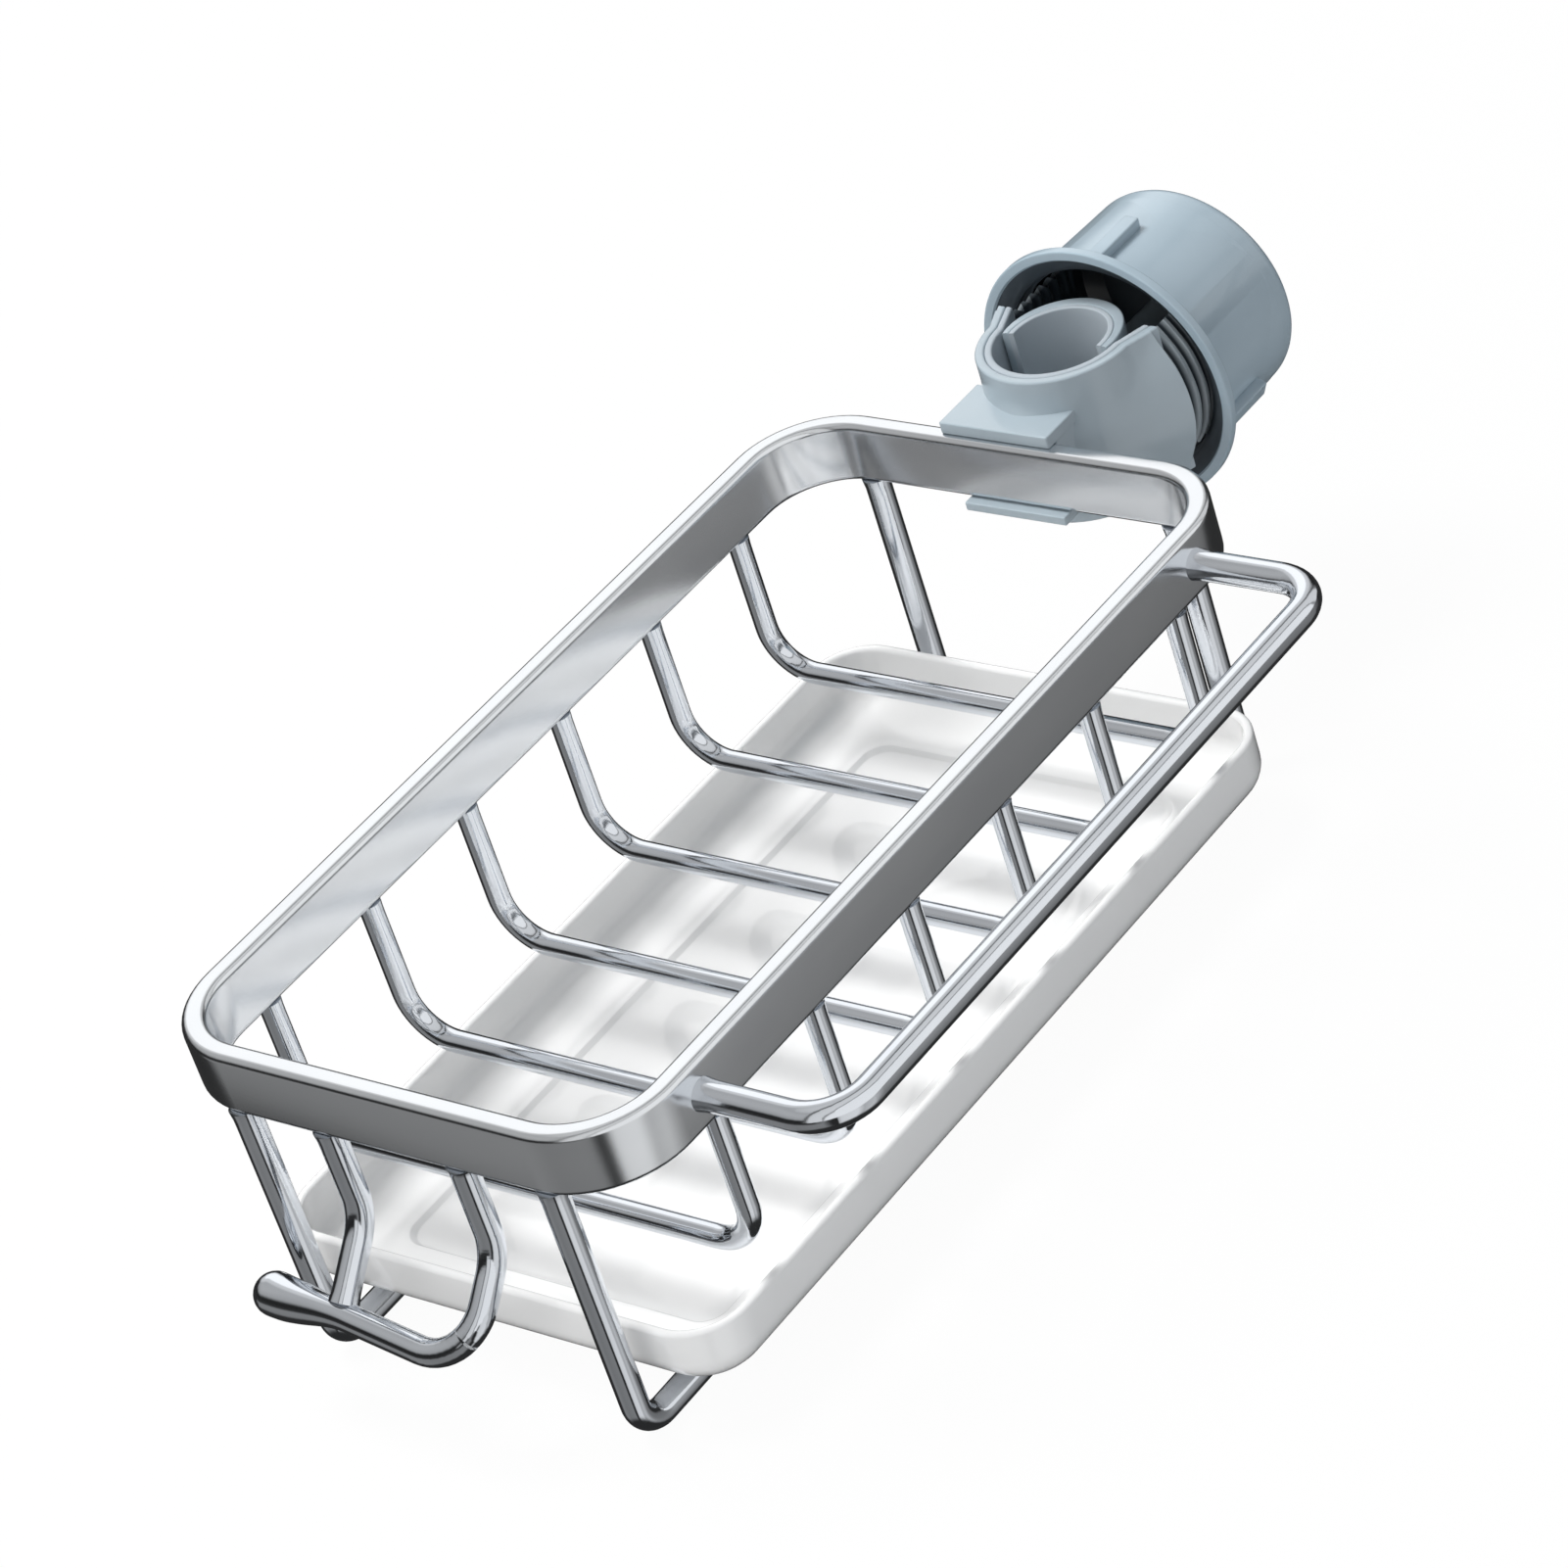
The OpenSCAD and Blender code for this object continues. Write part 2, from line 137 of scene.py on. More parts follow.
# Arms with the thread
THREAD_CORE = 21.2
THREAD_HEIGHT = 1.6
# Heights over the thread's core between which the painted groove shade fades out
GROOVE_SHADE = (0.5, 1.4)
THREAD_PITCH = 3.0
THREAD_START_Y = 6.9
THREAD_END_Y = 27.4
THREAD_FOOT = 1.28
THREAD_CREST = 0.42
THREAD_ROWS = 16
ARM_CHAMFER = 0.8

# Moving jaw, with its guides and stem
SEAT_RADIUS = 10.2
SEAT_LINING = 1.2
ARCH_RADIUS = 13.0
ARCH_SHIFT = 1.0
ARCH_END = np.radians(-6.8)
ARCH_TOP = 16.7
GUIDE_HALF = 15.7
GUIDE_HALF_HEIGHT = 6.0
GUIDE_FRONT_Y = 12.0
GUIDE_BACK_Y = 17.0
GUIDE_ROUNDING = 0.6
STEM_RADIUS = 4.5
STEM_START_Y = 13.4
STEM_TIP_Y = 41.0
BUTTON_RADIUS = 6.5
BUTTON_LENGTH = 3.0
BUTTON_EDGE = 0.4
SWIVEL_PLAY = 0.1

# Nut
NUT_FLANGE = 29.4
NUT_RADIUS = 25.4
NUT_TAPER = 1.2
NUT_ROUNDING = 3.0
NUT_BORE = 24.0
NUT_MOUTH_Y = 10.6
NUT_BACK_Y = 44.6
NUT_END = 2.6
FLANGE_THICKNESS = 2.2
NUT_RIDGE = 0.9
NUT_RIDGE_ANGLE = np.radians(28)
NUT_THREAD_HEIGHT = 1.1
NUT_THREAD_FOOT = 0.9
NUT_THREAD_CREST = 0.3
NUT_THREAD_END_Y = 19.4
BOSS_RADIUS = 8.5
BOSS_LENGTH = 7.0
GRIP_ANGLES = np.radians([86, -26, -146])
GRIP_LENGTH = 16.4
GRIP_HALF = 1.7
GRIP_HEIGHT = 1.3
GRIP_ROOT = 1.5
GRIP_ROUNDING = 0.4

# Middle of the band, where the wires end
WIRE_END_Y = RIM_LENGTH / 2 - BAND_THICKNESS / 2
RIB_X = RIM_WIDTH / 2 - BAND_THICKNESS / 2


def grid_quads(rows, columns, closed_rows=False):
    """Faces of a grid of points whose columns close on themselves: each joins
    point (i, j) to its neighbours in the next row and column."""
    i, j = np.meshgrid(
        np.arange(rows if closed_rows else rows - 1), np.arange(columns), indexing="ij"
    )
    down, across = (i + 1) % rows, (j + 1) % columns
    corners = [i * columns + j, i * columns + across, down * columns + across, down * columns + j]
    return np.stack(corners, -1).reshape(-1, 4)


def skin(rings):
    """Closed skin over rings of points, an array (ring, point, 3). Each end is
    closed by a fan to the middle of its ring."""
    rows, columns, _ = rings.shape
    points = np.vstack([rings.reshape(-1, 3), rings[:1].mean(1), rings[-1:].mean(1)])
    j = np.arange(columns)
    across = (j + 1) % columns
    first, last = rows * columns, rows * columns + 1
    start = (rows - 1) * columns
    fans = np.vstack([
        np.stack([np.full(columns, first), across, j], -1),
        np.stack([np.full(columns, last), start + j, start + across], -1),
    ])
    return points, grid_quads(rows, columns).tolist() + fans.tolist()


def loop_skin(rings):
    """Closed skin over rings that follow one another round a loop."""
    rows, columns, _ = rings.shape
    return rings.reshape(-1, 3), grid_quads(rows, columns, closed_rows=True).tolist()


def joined(*parts):
    """Several skins as the points and faces of one mesh."""
    starts = np.cumsum([0] + [len(points) for points, _ in parts])
    faces = [
        [corner + start for corner in face]
        for start, (_, part) in zip(starts, parts)
        for face in part
    ]
    return np.vstack([points for points, _ in parts]), faces


def swept_volume(points, faces):
    """Volume inside a closed mesh: a sixth of the sum of a . (b x c) over its
    triangles. It is negative where the faces point inwards."""
    triangles = np.array([[f[0], f[k], f[k + 1]] for f in faces for k in range(1, len(f) - 1)])
    a, b, c = (points[triangles[:, k]] for k in range(3))
    return np.einsum("ij,ij->i", a, np.cross(b, c)).sum() / 6


def add_piece(name, shells, material, body, nodes=(), sharp=40):
    """Mesh object made of closed skins in millimetres, each turned to face
    outwards, riding on a body and standing for CAD nodes."""
    facing = [
        (points, faces if swept_volume(points, faces) > 0 else [f[::-1] for f in faces])
        for points, faces in shells
    ]
    points, faces = joined(*facing)
    mesh = bpy.data.meshes.new(name)
    mesh.from_pydata((points * MM).tolist(), [], faces)
    mesh.polygons.foreach_set("use_smooth", np.ones(len(faces), bool))
    mesh.set_sharp_from_angle(angle=np.radians(sharp))
    mesh.materials.append(material)
    piece = bpy.data.objects.new(name, mesh)
    bpy.context.scene.collection.objects.link(piece)
    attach(piece, body)
    if nodes:
        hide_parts(*nodes)
    return piece


def unit(v):
    """Directions v, each divided by its length."""
    return v / np.linalg.norm(v, axis=-1, keepdims=True)


def arc_corner(before, corner, after, radius, steps=14):
    """Points of the arc that rounds a corner of a path. The two ends a and b of
    the arc stand off its centre, and the points between are
    (a sin((1 - t) w) + b sin(t w)) / sin w, where w is the angle it turns."""
    back, ahead = unit(before - corner), unit(after - corner)
    half = np.arccos(np.clip(back @ ahead, -1, 1)) / 2
    centre = corner + unit(back + ahead) * radius / np.sin(half)
    a = corner + back * radius / np.tan(half) - centre
    b = corner + ahead * radius / np.tan(half) - centre
    w = np.pi - 2 * half
    t = np.linspace(0, 1, steps)[:, None]
    return centre + (a * np.sin((1 - t) * w) + b * np.sin(t * w)) / np.sin(w)


def bent_path(corners, radii):
    """Path of a bent wire: straight runs between corners, each rounded by an arc."""
    corners = np.array(corners, float)
    arcs = [
        arc_corner(corners[k], corners[k + 1], corners[k + 2], radius)
        for k, radius in enumerate(radii)
    ]
    return np.vstack([corners[:1], *arcs, corners[-1:]])


def resampled(path, spacing):
    """The same path with points no further apart than spacing, its own points
    kept, so that a bend stays where it is."""
    length = np.concatenate([[0], np.cumsum(np.linalg.norm(np.diff(path, axis=0), axis=1))])
    wanted = np.linspace(0, length[-1], int(length[-1] / spacing) + 2)
    stops = np.unique(np.round(np.concatenate([length, wanted]), 3))
    return np.stack([np.interp(stops, length, path[:, k]) for k in range(3)], -1), stops


def wire(path, diameter, across, swell=None, sides=28, spacing=2.0):
    """Round wire: circles carried along a path. Point (i, j) is
    path_i + r_i (cos a_j U_i + sin a_j V_i), where U is the direction across
    made square to the path, V is square to both, and r_i is the wire's radius
    times swell at that distance along the wire."""
    centres, along = resampled(np.array(path, float), spacing)
    tangent = unit(np.gradient(centres, along, axis=0))
    across = np.array(across, float)
    u = unit(across - (tangent @ across)[:, None] * tangent)
    v = np.cross(tangent, u)
    radius = diameter / 2 * (np.ones(len(along)) if swell is None else swell(along, along[-1]))
    a = np.linspace(0, 2 * np.pi, sides, endpoint=False)[None, :, None]
    ring = np.cos(a) * u[:, None] + np.sin(a) * v[:, None]
    return skin(centres[:, None] + radius[:, None, None] * ring)


def weld_beads(height=WIRE_BEAD):
    """Swell of a wire that flares at both ends, where it is welded: one plus
    height times exp(-distance / reach)."""
    def swell(along, length):
        ends = np.exp(-along / BEAD_REACH) + np.exp(-(length - along) / BEAD_REACH)
        return 1 + height * ends
    return swell


def round_sweep(width, length, corner, profile, centre, least=1.0, steps=16):
    """Profile carried round a rounded rectangle. The profile gives (d, z): how
    far in from the outline, and how high. Ring k is the outline taken in by
    d_k, at height z_k; its corners keep a radius of at least the least."""
    d, z = np.array(profile, float).T
    radius = np.maximum(corner - d, least)
    a = np.linspace(0, np.pi / 2, steps)
    turns = (a[None, :] + np.arange(4)[:, None] * np.pi / 2).ravel()
    signs = np.repeat(np.array([[1, 1], [-1, 1], [-1, -1], [1, -1]]), steps, 0)
    half = np.stack([width / 2 - d - radius, length / 2 - d - radius], -1)
    arcs = np.stack([np.cos(turns), np.sin(turns)], -1)
    xy = signs[None] * half[:, None] + radius[:, None, None] * arcs[None]
    heights = np.broadcast_to(z[:, None, None], xy.shape[:2] + (1,))
    return np.concatenate([xy + np.array(centre), heights], -1)


def quarter(centre, radius, start, steps=9):
    """Quarter circle about a centre in (d, z), from an angle in degrees; a
    negative radius runs it backwards."""
    a = np.radians(start + np.linspace(0, 90, steps) * np.sign(radius))
    return np.stack([centre[0] + abs(radius) * np.cos(a), centre[1] + abs(radius) * np.sin(a)], -1)


def block(low, high, rounding):
    """Box with rounded edges between two corners: a rounded rectangle carried up,
    taken in by a quarter circle at its foot and its top."""
    low, high = np.array(low, float), np.array(high, float)
    size, middle = high - low, (low + high) / 2
    profile = np.vstack([
        quarter((rounding, low[2] + rounding), -rounding, 270),
        quarter((rounding, high[2] - rounding), -rounding, 180),
    ])
    return skin(round_sweep(size[0], size[1], rounding, profile, middle[:2], 0.05, 5))


def turned(profile, sides=96, depth=None):
    """Rings turned round the screw's axis. The profile gives (r, y), and point
    (i, j) is (r cos a_j, y, r sin a_j). Depth gives how much is taken off the
    radius at an angle and a y."""
    radius, y = np.array(profile, float).T
    a = np.linspace(0, 2 * np.pi, sides, endpoint=False)
    radius, y, a = radius[:, None], y[:, None], a[None, :]
    radius = radius - (0 if depth is None else depth(a, y)) + 0 * a
    return np.stack([radius * np.cos(a), y + 0 * a, radius * np.sin(a)], -1)


def thread_ridge(angle, y, start, foot, crest):
    """Height from 0 to 1 of a screw thread: 1 within crest of the helix
    y = start - pitch * angle / 2 pi, and falling to 0 at foot from it."""
    turns = (y - start) / THREAD_PITCH + angle / (2 * np.pi)
    away = np.abs(turns - np.round(turns)) * THREAD_PITCH
    return np.clip((foot - away) / (foot - crest), 0, 1)


def faded(y, start, end, length):
    """1 between start and end, falling to 0 over a length inside each of them."""
    return np.clip((y - start) / length, 0, 1) * np.clip((end - y) / length, 0, 1)


def about_screw(points, angle):
    """Points turned about the screw's axis: (x cos - z sin, y, x sin + z cos)."""
    x, y, z = points.T
    return np.stack([x * np.cos(angle) - z * np.sin(angle), y, x * np.sin(angle) + z * np.cos(angle)], -1)


def wall_section(top, rounding, rows=17, steps=5):
    """Outline of a wall seen end on: heights, how far each point is set in from
    the face that it belongs to, and whether that is the outer face."""
    a = np.linspace(0, np.pi / 2, steps)
    rise, inset = top - rounding + rounding * np.sin(a), rounding * (1 - np.cos(a))
    side = np.linspace(rounding - top, top - rounding, rows)[1:-1]
    flat = np.zeros(len(side))
    z = np.concatenate([side, rise, rise[::-1], -side, -rise, -rise[::-1]])
    inset = np.concatenate([flat, inset, inset[::-1], flat, inset, inset[::-1]])
    outer = np.repeat([False, True, False], [len(side) + steps, len(side) + 2 * steps, steps])
    return z, inset, outer


def wall(places, outward, inner, outer, top, rounding=0.5):
    """Upright wall along a path in plan. Point (i, j) stands over place_i, off
    it along outward_i by the depth of the inner or the outer face there."""
    z, inset, is_outer = wall_section(top, rounding)
    depth = np.where(is_outer, outer(z) - inset, inner + inset)
    xy = places[:, None] + depth[..., None] * outward[:, None]
    return skin(np.concatenate([xy, np.broadcast_to(z[None, :, None], depth.shape + (1,))], -1))


def rounded_section(thickness, height, rounding, steps=8):
    """Closed rounded rectangle as (d, z): d from 0 to thickness, z from -height/2
    to height/2, with quarter circles at its corners."""
    a = np.linspace(0, np.pi / 2, steps)
    turns = (a[None, :] + np.arange(4)[:, None] * np.pi / 2).ravel()
    signs = np.repeat(np.array([[1, 1], [-1, 1], [-1, -1], [1, -1]]), steps, 0)
    centre = signs * np.array([thickness / 2 - rounding, height / 2 - rounding])
    d = thickness / 2 + centre[:, 0] + rounding * np.cos(turns)
    return np.stack([d, centre[:, 1] + rounding * np.sin(turns)], -1)


def colour(r, g, b):
    """Opaque colour."""
    return (r, g, b, 1.0)


def grey(level):
    """Opaque grey."""
    return colour(level, level, level)


def node_group(name, inputs, outputs):
    """New shader node group with named sockets; returns it with its ends."""
    group = bpy.data.node_groups.new(name, "ShaderNodeTree")
    for socket, kind, value in inputs:
        made = group.interface.new_socket(socket, in_out="INPUT", socket_type=kind)
        made.default_value = value
    for socket, kind in outputs:
        group.interface.new_socket(socket, in_out="OUTPUT", socket_type=kind)
    return group, group.nodes.new("NodeGroupInput"), group.nodes.new("NodeGroupOutput")


def new_node(tree, kind, **settings):
    """New node with its settings made."""
    node = tree.nodes.new(kind)
    for key, value in settings.items():
        setattr(node, key, value)
    return node


def new_material(name, base, roughness, metallic=0.0, coat=0.0, coat_roughness=0.03):
    """Material whose Principled shader has its constants set; returns both."""
    material = bpy.data.materials.new(name)
    material.use_nodes = True
    shader = material.node_tree.nodes["Principled BSDF"]
    shader.inputs["Base Color"].default_value = base
    shader.inputs["Roughness"].default_value = roughness
    shader.inputs["Metallic"].default_value = metallic
    shader.inputs["Coat Weight"].default_value = coat
    shader.inputs["Coat Roughness"].default_value = coat_roughness
    return material, shader


def fine_wear_group():
    """Shared effect: fine noise stretched along one axis, as polishing lines, and
    a broad cloud, as handling marks. It gives a roughness, a height and a tint."""
    tree, start, end = node_group(
        "fine_wear",
        [
            ("Vector", "NodeSocketVector", (0, 0, 0)),
            ("Line Scale", "NodeSocketFloat", 900.0),
            ("Cloud Scale", "NodeSocketFloat", 25.0),
            ("Roughness", "NodeSocketFloat", 0.2),
            ("Variation", "NodeSocketFloat", 0.05),
        ],
        [("Roughness", "NodeSocketFloat"), ("Height", "NodeSocketFloat"), ("Cloud", "NodeSocketFloat")],
    )
    lines = new_node(tree, "ShaderNodeTexNoise")
    lines.inputs["Detail"].default_value = 3
    cloud = new_node(tree, "ShaderNodeTexNoise")
    cloud.inputs["Detail"].default_value = 4
    centred = new_node(tree, "ShaderNodeMath", operation="SUBTRACT")
    centred.inputs[1].default_value = 0.5
    spread = new_node(tree, "ShaderNodeMath", operation="MULTIPLY_ADD")
    link = tree.links.new
    link(start.outputs["Vector"], lines.inputs["Vector"])
    link(start.outputs["Line Scale"], lines.inputs["Scale"])
    link(start.outputs["Vector"], cloud.inputs["Vector"])
    link(start.outputs["Cloud Scale"], cloud.inputs["Scale"])
    link(cloud.outputs["Fac"], centred.inputs[0])
    link(centred.outputs[0], spread.inputs[0])
    link(start.outputs["Variation"], spread.inputs[1])
    link(start.outputs["Roughness"], spread.inputs[2])
    link(spread.outputs[0], end.inputs["Roughness"])
    link(lines.outputs["Fac"], end.inputs["Height"])
    link(cloud.outputs["Fac"], end.inputs["Cloud"])
    return tree


# Height of a bump at strength 1, in metres, and the part of the cloud's noise that
# goes from one tint to the other
BUMP_HEIGHT = 0.0001
CLOUD_RANGE = (0.3, 0.7)
FINE_WEAR = fine_wear_group()


def finish_surface(
    material, shader, roughness, variation, line_scale, cloud_scale, bump, tints, stretch=(1, 1, 1)
):
    """Places the shared wear effect in a material, on Object coordinates. It sets
    the roughness, its lines make a bump, and its cloud goes from one tint to
    the other."""
    tree = material.node_tree
    link = tree.links.new
    place = tree.nodes.new("ShaderNodeTexCoord")
    mapping = tree.nodes.new("ShaderNodeMapping")
    mapping.inputs["Scale"].default_value = stretch
    wear = tree.nodes.new("ShaderNodeGroup")
    wear.node_tree = FINE_WEAR
    wear.inputs["Line Scale"].default_value = line_scale
    wear.inputs["Cloud Scale"].default_value = cloud_scale
    wear.inputs["Roughness"].default_value = roughness
    wear.inputs["Variation"].default_value = variation
    relief = tree.nodes.new("ShaderNodeBump")
    relief.inputs["Distance"].default_value = BUMP_HEIGHT
    relief.inputs["Strength"].default_value = bump
    link(place.outputs["Object"], mapping.inputs["Vector"])
    link(mapping.outputs["Vector"], wear.inputs["Vector"])
    link(wear.outputs["Roughness"], shader.inputs["Roughness"])
    link(wear.outputs["Height"], relief.inputs["Height"])
    link(relief.outputs["Normal"], shader.inputs["Normal"])
    ramp = tree.nodes.new("ShaderNodeValToRGB")
    for element, position, tint in zip(ramp.color_ramp.elements, CLOUD_RANGE, tints):
        element.position = position
        element.color = tint
    link(wear.outputs["Cloud"], ramp.inputs["Fac"])
    link(ramp.outputs["Color"], shader.inputs["Base Color"])
    return material


def polished_steel(name, roughness, line_scale, dark, light, stretch=(1, 1, 1)):
    """Steel between two tints, with fine polishing lines. A stretch packs the
    lines closer along an axis, so that they run across it."""
    material, shader = new_material(name, light, roughness, metallic=1.0)
    return finish_surface(
        material, shader, roughness, variation=0.05, line_scale=line_scale, cloud_scale=40.0,
        bump=0.05, tints=(dark, light), stretch=stretch,
    )


def tray_plastic():
    """Glossy white moulding that lets a little light in."""
    white, roughness = colour(0.90, 0.90, 0.895), 0.22
    material, shader = new_material("white_tray_plastic", white, roughness, coat=1.0, coat_roughness=0.04)
    shader.inputs["Subsurface Weight"].default_value = 0.1
    shader.inputs["Subsurface Radius"].default_value = (1, 1, 1)
    shader.inputs["Subsurface Scale"].default_value = 0.002
    return finish_surface(
        material, shader, roughness, variation=0.06, line_scale=700.0, cloud_scale=18.0,
        bump=0.05, tints=(colour(0.89, 0.888, 0.88), colour(0.915, 0.912, 0.905)),
    )


def clamp_plastic(name, dark, light):
    """Moulded plastic with a fine grain, between two tints."""
    roughness = 0.34
    material, shader = new_material(name, light, roughness, coat=0.6, coat_roughness=0.12)
    return finish_surface(
        material, shader, roughness, variation=0.08, line_scale=900.0, cloud_scale=30.0,
        bump=0.1, tints=(dark, light),
    )


def painted_groove_shade_thread_plastic():
    """The bracket's plastic on its thread, with painted shade that darkens it down in
    the grooves. The painted shade goes by the distance from the screw's axis, Y,
    and fades out between two heights over the thread's core."""
    material = clamp_plastic("painted_groove_shade_thread_plastic", colour(0.38, 0.43, 0.46), colour(0.42, 0.47, 0.50))
    tree = material.node_tree
    place = tree.nodes.new("ShaderNodeTexCoord")
    flat = new_node(tree, "ShaderNodeVectorMath", operation="MULTIPLY")
    flat.inputs[1].default_value = (1, 0, 1)
    radius = new_node(tree, "ShaderNodeVectorMath", operation="LENGTH")
    depth = new_node(tree, "ShaderNodeMapRange")
    depth.inputs["From Min"].default_value = (THREAD_CORE + GROOVE_SHADE[0]) * MM
    depth.inputs["From Max"].default_value = (THREAD_CORE + GROOVE_SHADE[1]) * MM
    mix = new_node(tree, "ShaderNodeMix", data_type="RGBA")
    # Near-black painted shade deep in the thread's grooves
    mix.inputs["A"].default_value = colour(0.03, 0.04, 0.05)
    shader = tree.nodes["Principled BSDF"]
    tint = shader.inputs["Base Color"].links[0].from_socket
    tree.links.new(place.outputs["Object"], flat.inputs[0])
    tree.links.new(flat.outputs["Vector"], radius.inputs[0])
    tree.links.new(radius.outputs["Value"], depth.inputs["Value"])
    tree.links.new(depth.outputs["Result"], mix.inputs["Factor"])
    tree.links.new(tint, mix.inputs["B"])
    tree.links.new(mix.outputs["Result"], shader.inputs["Base Color"])
    return material


def lining_rubber():
    """Dull pale rubber with a soft grain."""
    roughness = 0.5
    material, shader = new_material("pale_lining", colour(0.42, 0.47, 0.51), roughness)
    return finish_surface(
        material, shader, roughness, variation=0.06, line_scale=1200.0, cloud_scale=40.0,
        bump=0.2, tints=(colour(0.40, 0.45, 0.49), colour(0.44, 0.49, 0.53)),
    )


BAND_STEEL = polished_steel(
    "band_steel", 0.19, 900.0, colour(0.72, 0.74, 0.765), colour(0.76, 0.78, 0.80), stretch=(1, 1, 3)
)
STEEL = polished_steel("wire_steel", 0.11, 1400.0, colour(0.68, 0.71, 0.755), colour(0.74, 0.77, 0.81))
TRAY = tray_plastic()
NUT = clamp_plastic("blue_grey_plastic", colour(0.36, 0.455, 0.52), colour(0.39, 0.485, 0.55))
BRACKET = clamp_plastic("grey_plastic", colour(0.36, 0.43, 0.475), colour(0.40, 0.47, 0.515))
THREAD = painted_groove_shade_thread_plastic()
# Near-black painted shade for the nut's bore and boss, which are the same plastic as the nut and lie in
# shade
PAINTED_BORE_SHADE = clamp_plastic("painted_bore_shade_plastic", colour(0.06, 0.075, 0.09), colour(0.08, 0.095, 0.11))
LINING = lining_rubber()


def make_rim():
    """Flat band with rounded edges, carried round the rim."""
    section = rounded_section(BAND_THICKNESS, BAND_HEIGHT, BAND_ROUNDING)
    rings = round_sweep(RIM_WIDTH, RIM_LENGTH, RIM_CORNER, section, (0, RIM_MIDDLE_Y))
    add_piece("rim_band_steel", [loop_skin(rings)], BAND_STEEL, "rack", ["rim_band"])


def make_ribs():
    """Six wire ribs, each a U open at the top."""
    for count in range(RIB_COUNT):
        y = RIM_MIDDLE_Y + (count - (RIB_COUNT - 1) / 2) * RIB_PITCH
        path = bent_path(
            [(-RIB_X, y, RIM_BOTTOM), (-RIB_X, y, RIB_Z), (RIB_X, y, RIB_Z), (RIB_X, y, RIM_BOTTOM)],
            [RIB_BEND, RIB_BEND],
        )
        shell = wire(path, RIB_WIRE, (0, 1, 0), weld_beads(RIB_BEAD))
        add_piece(f"rib_wire_{count + 1}", [shell], STEEL, "rack", [f"rib_{count + 1}"])


def make_rails():
    """Two long wire Us under the tray."""
    for side, name in ((-1, "left"), (1, "right")):
        x = side * RAIL_X
        front, back = RIM_MIDDLE_Y - WIRE_END_Y, RIM_MIDDLE_Y + WIRE_END_Y
        path = bent_path(
            [(x, front, RIM_BOTTOM), (x, front, RAIL_Z), (x, back, RAIL_Z), (x, back, RIM_BOTTOM)],
            [RAIL_BEND, RAIL_BEND],
        )
        shell = wire(path, RAIL_WIRE, (1, 0, 0), weld_beads())
        add_piece(f"rail_wire_{name}", [shell], STEEL, "rack", [f"tray_rail_{name}"])


def make_towel_bar():
    """Wire U lying flat, beside the rim."""
    inner, outer = RIM_WIDTH / 2, RIM_WIDTH / 2 + TOWEL_REACH
    middle_y = RIM_MIDDLE_Y + TOWEL_SHIFT
    front, back = middle_y - TOWEL_LENGTH / 2, middle_y + TOWEL_LENGTH / 2
    path = bent_path(
        [(inner, front, 0), (outer, front, 0), (outer, back, 0), (inner, back, 0)],
        [TOWEL_BEND, TOWEL_BEND],
    )
    shell = wire(path, TOWEL_WIRE, (0, 0, 1), weld_beads())
    add_piece("towel_bar_wire", [shell], STEEL, "rack", ["towel_bar"])


def on_slope(x, distance):
    """Place on the plane in which the hook leans forward."""
    y, z = RIM_MIDDLE_Y - WIRE_END_Y, HOOK_LEAN_Z
    return (x, y - distance * np.sin(HOOK_LEAN), z - distance * np.cos(HOOK_LEAN))


def make_hook():
    """Hook of two legs that lean forward. The right one turns into the bar, whose
    free end swells to a rounded tip and drops as it swells, so that its top stays
    straight. The left one is welded to the bar."""
    y = RIM_MIDDLE_Y - WIRE_END_Y
    run = 2 * HOOK_X + HOOK_OVERHANG
    grown = (HOOK_TIP - HOOK_WIRE) / 2

    def growth(left):
        """What the radius gains at a distance from the bar's end: grown times
        t^2 (3 - 2 t), where t goes from 0 to 1 over the swell."""
        t = np.clip(1 - (left - HOOK_TIP / 2) / HOOK_SWELL, 0, 1)
        return grown * t ** 2 * (3 - 2 * t)

    def swell(along, length):
        """The swelling, domed at the free end, with a weld bead at the other."""
        left = length - along
        dome = np.sqrt(np.clip(1 - np.clip(1 - left / (HOOK_TIP / 2), 0, 1) ** 2, 0.002, 1))
        return (1 + growth(left) / (HOOK_WIRE / 2)) * dome + WIRE_BEAD * np.exp(-along / BEAD_REACH)

    tip = on_slope(HOOK_X - run, HOOK_SLOPE - run * HOOK_CLIMB)
    path = bent_path(
        [(HOOK_X, y, RIM_BOTTOM), (HOOK_X, y, HOOK_LEAN_Z), on_slope(HOOK_X, HOOK_SLOPE), tip],
        [HOOK_BEND, HOOK_TURN],
    )
    path, along = resampled(path, HOOK_SPACING)
    path[:, 1] += HOOK_TIP_BACK * growth(along[-1] - along)
    path[:, 2] -= HOOK_TIP_DROP * growth(along[-1] - along)
    bar = wire(path, HOOK_WIRE, (1, 1, 1), swell, spacing=HOOK_SPACING)
    add_piece("hook_bar_wire", [bar], STEEL, "rack", ["hook_bar"])
    seat = HOOK_SLOPE - 2 * HOOK_X * HOOK_CLIMB - HOOK_WIRE / 2 + HOOK_LEG_BITE
    path = bent_path(
        [(-HOOK_X, y, RIM_BOTTOM), (-HOOK_X, y, HOOK_LEAN_Z), on_slope(-HOOK_X, seat)],
        [HOOK_BEND],
    )
    leg = wire(path, HOOK_WIRE, (1, 0, 0), weld_beads())
    add_piece("hook_leg_wire", [leg], STEEL, "rack", ["hook_leg"])


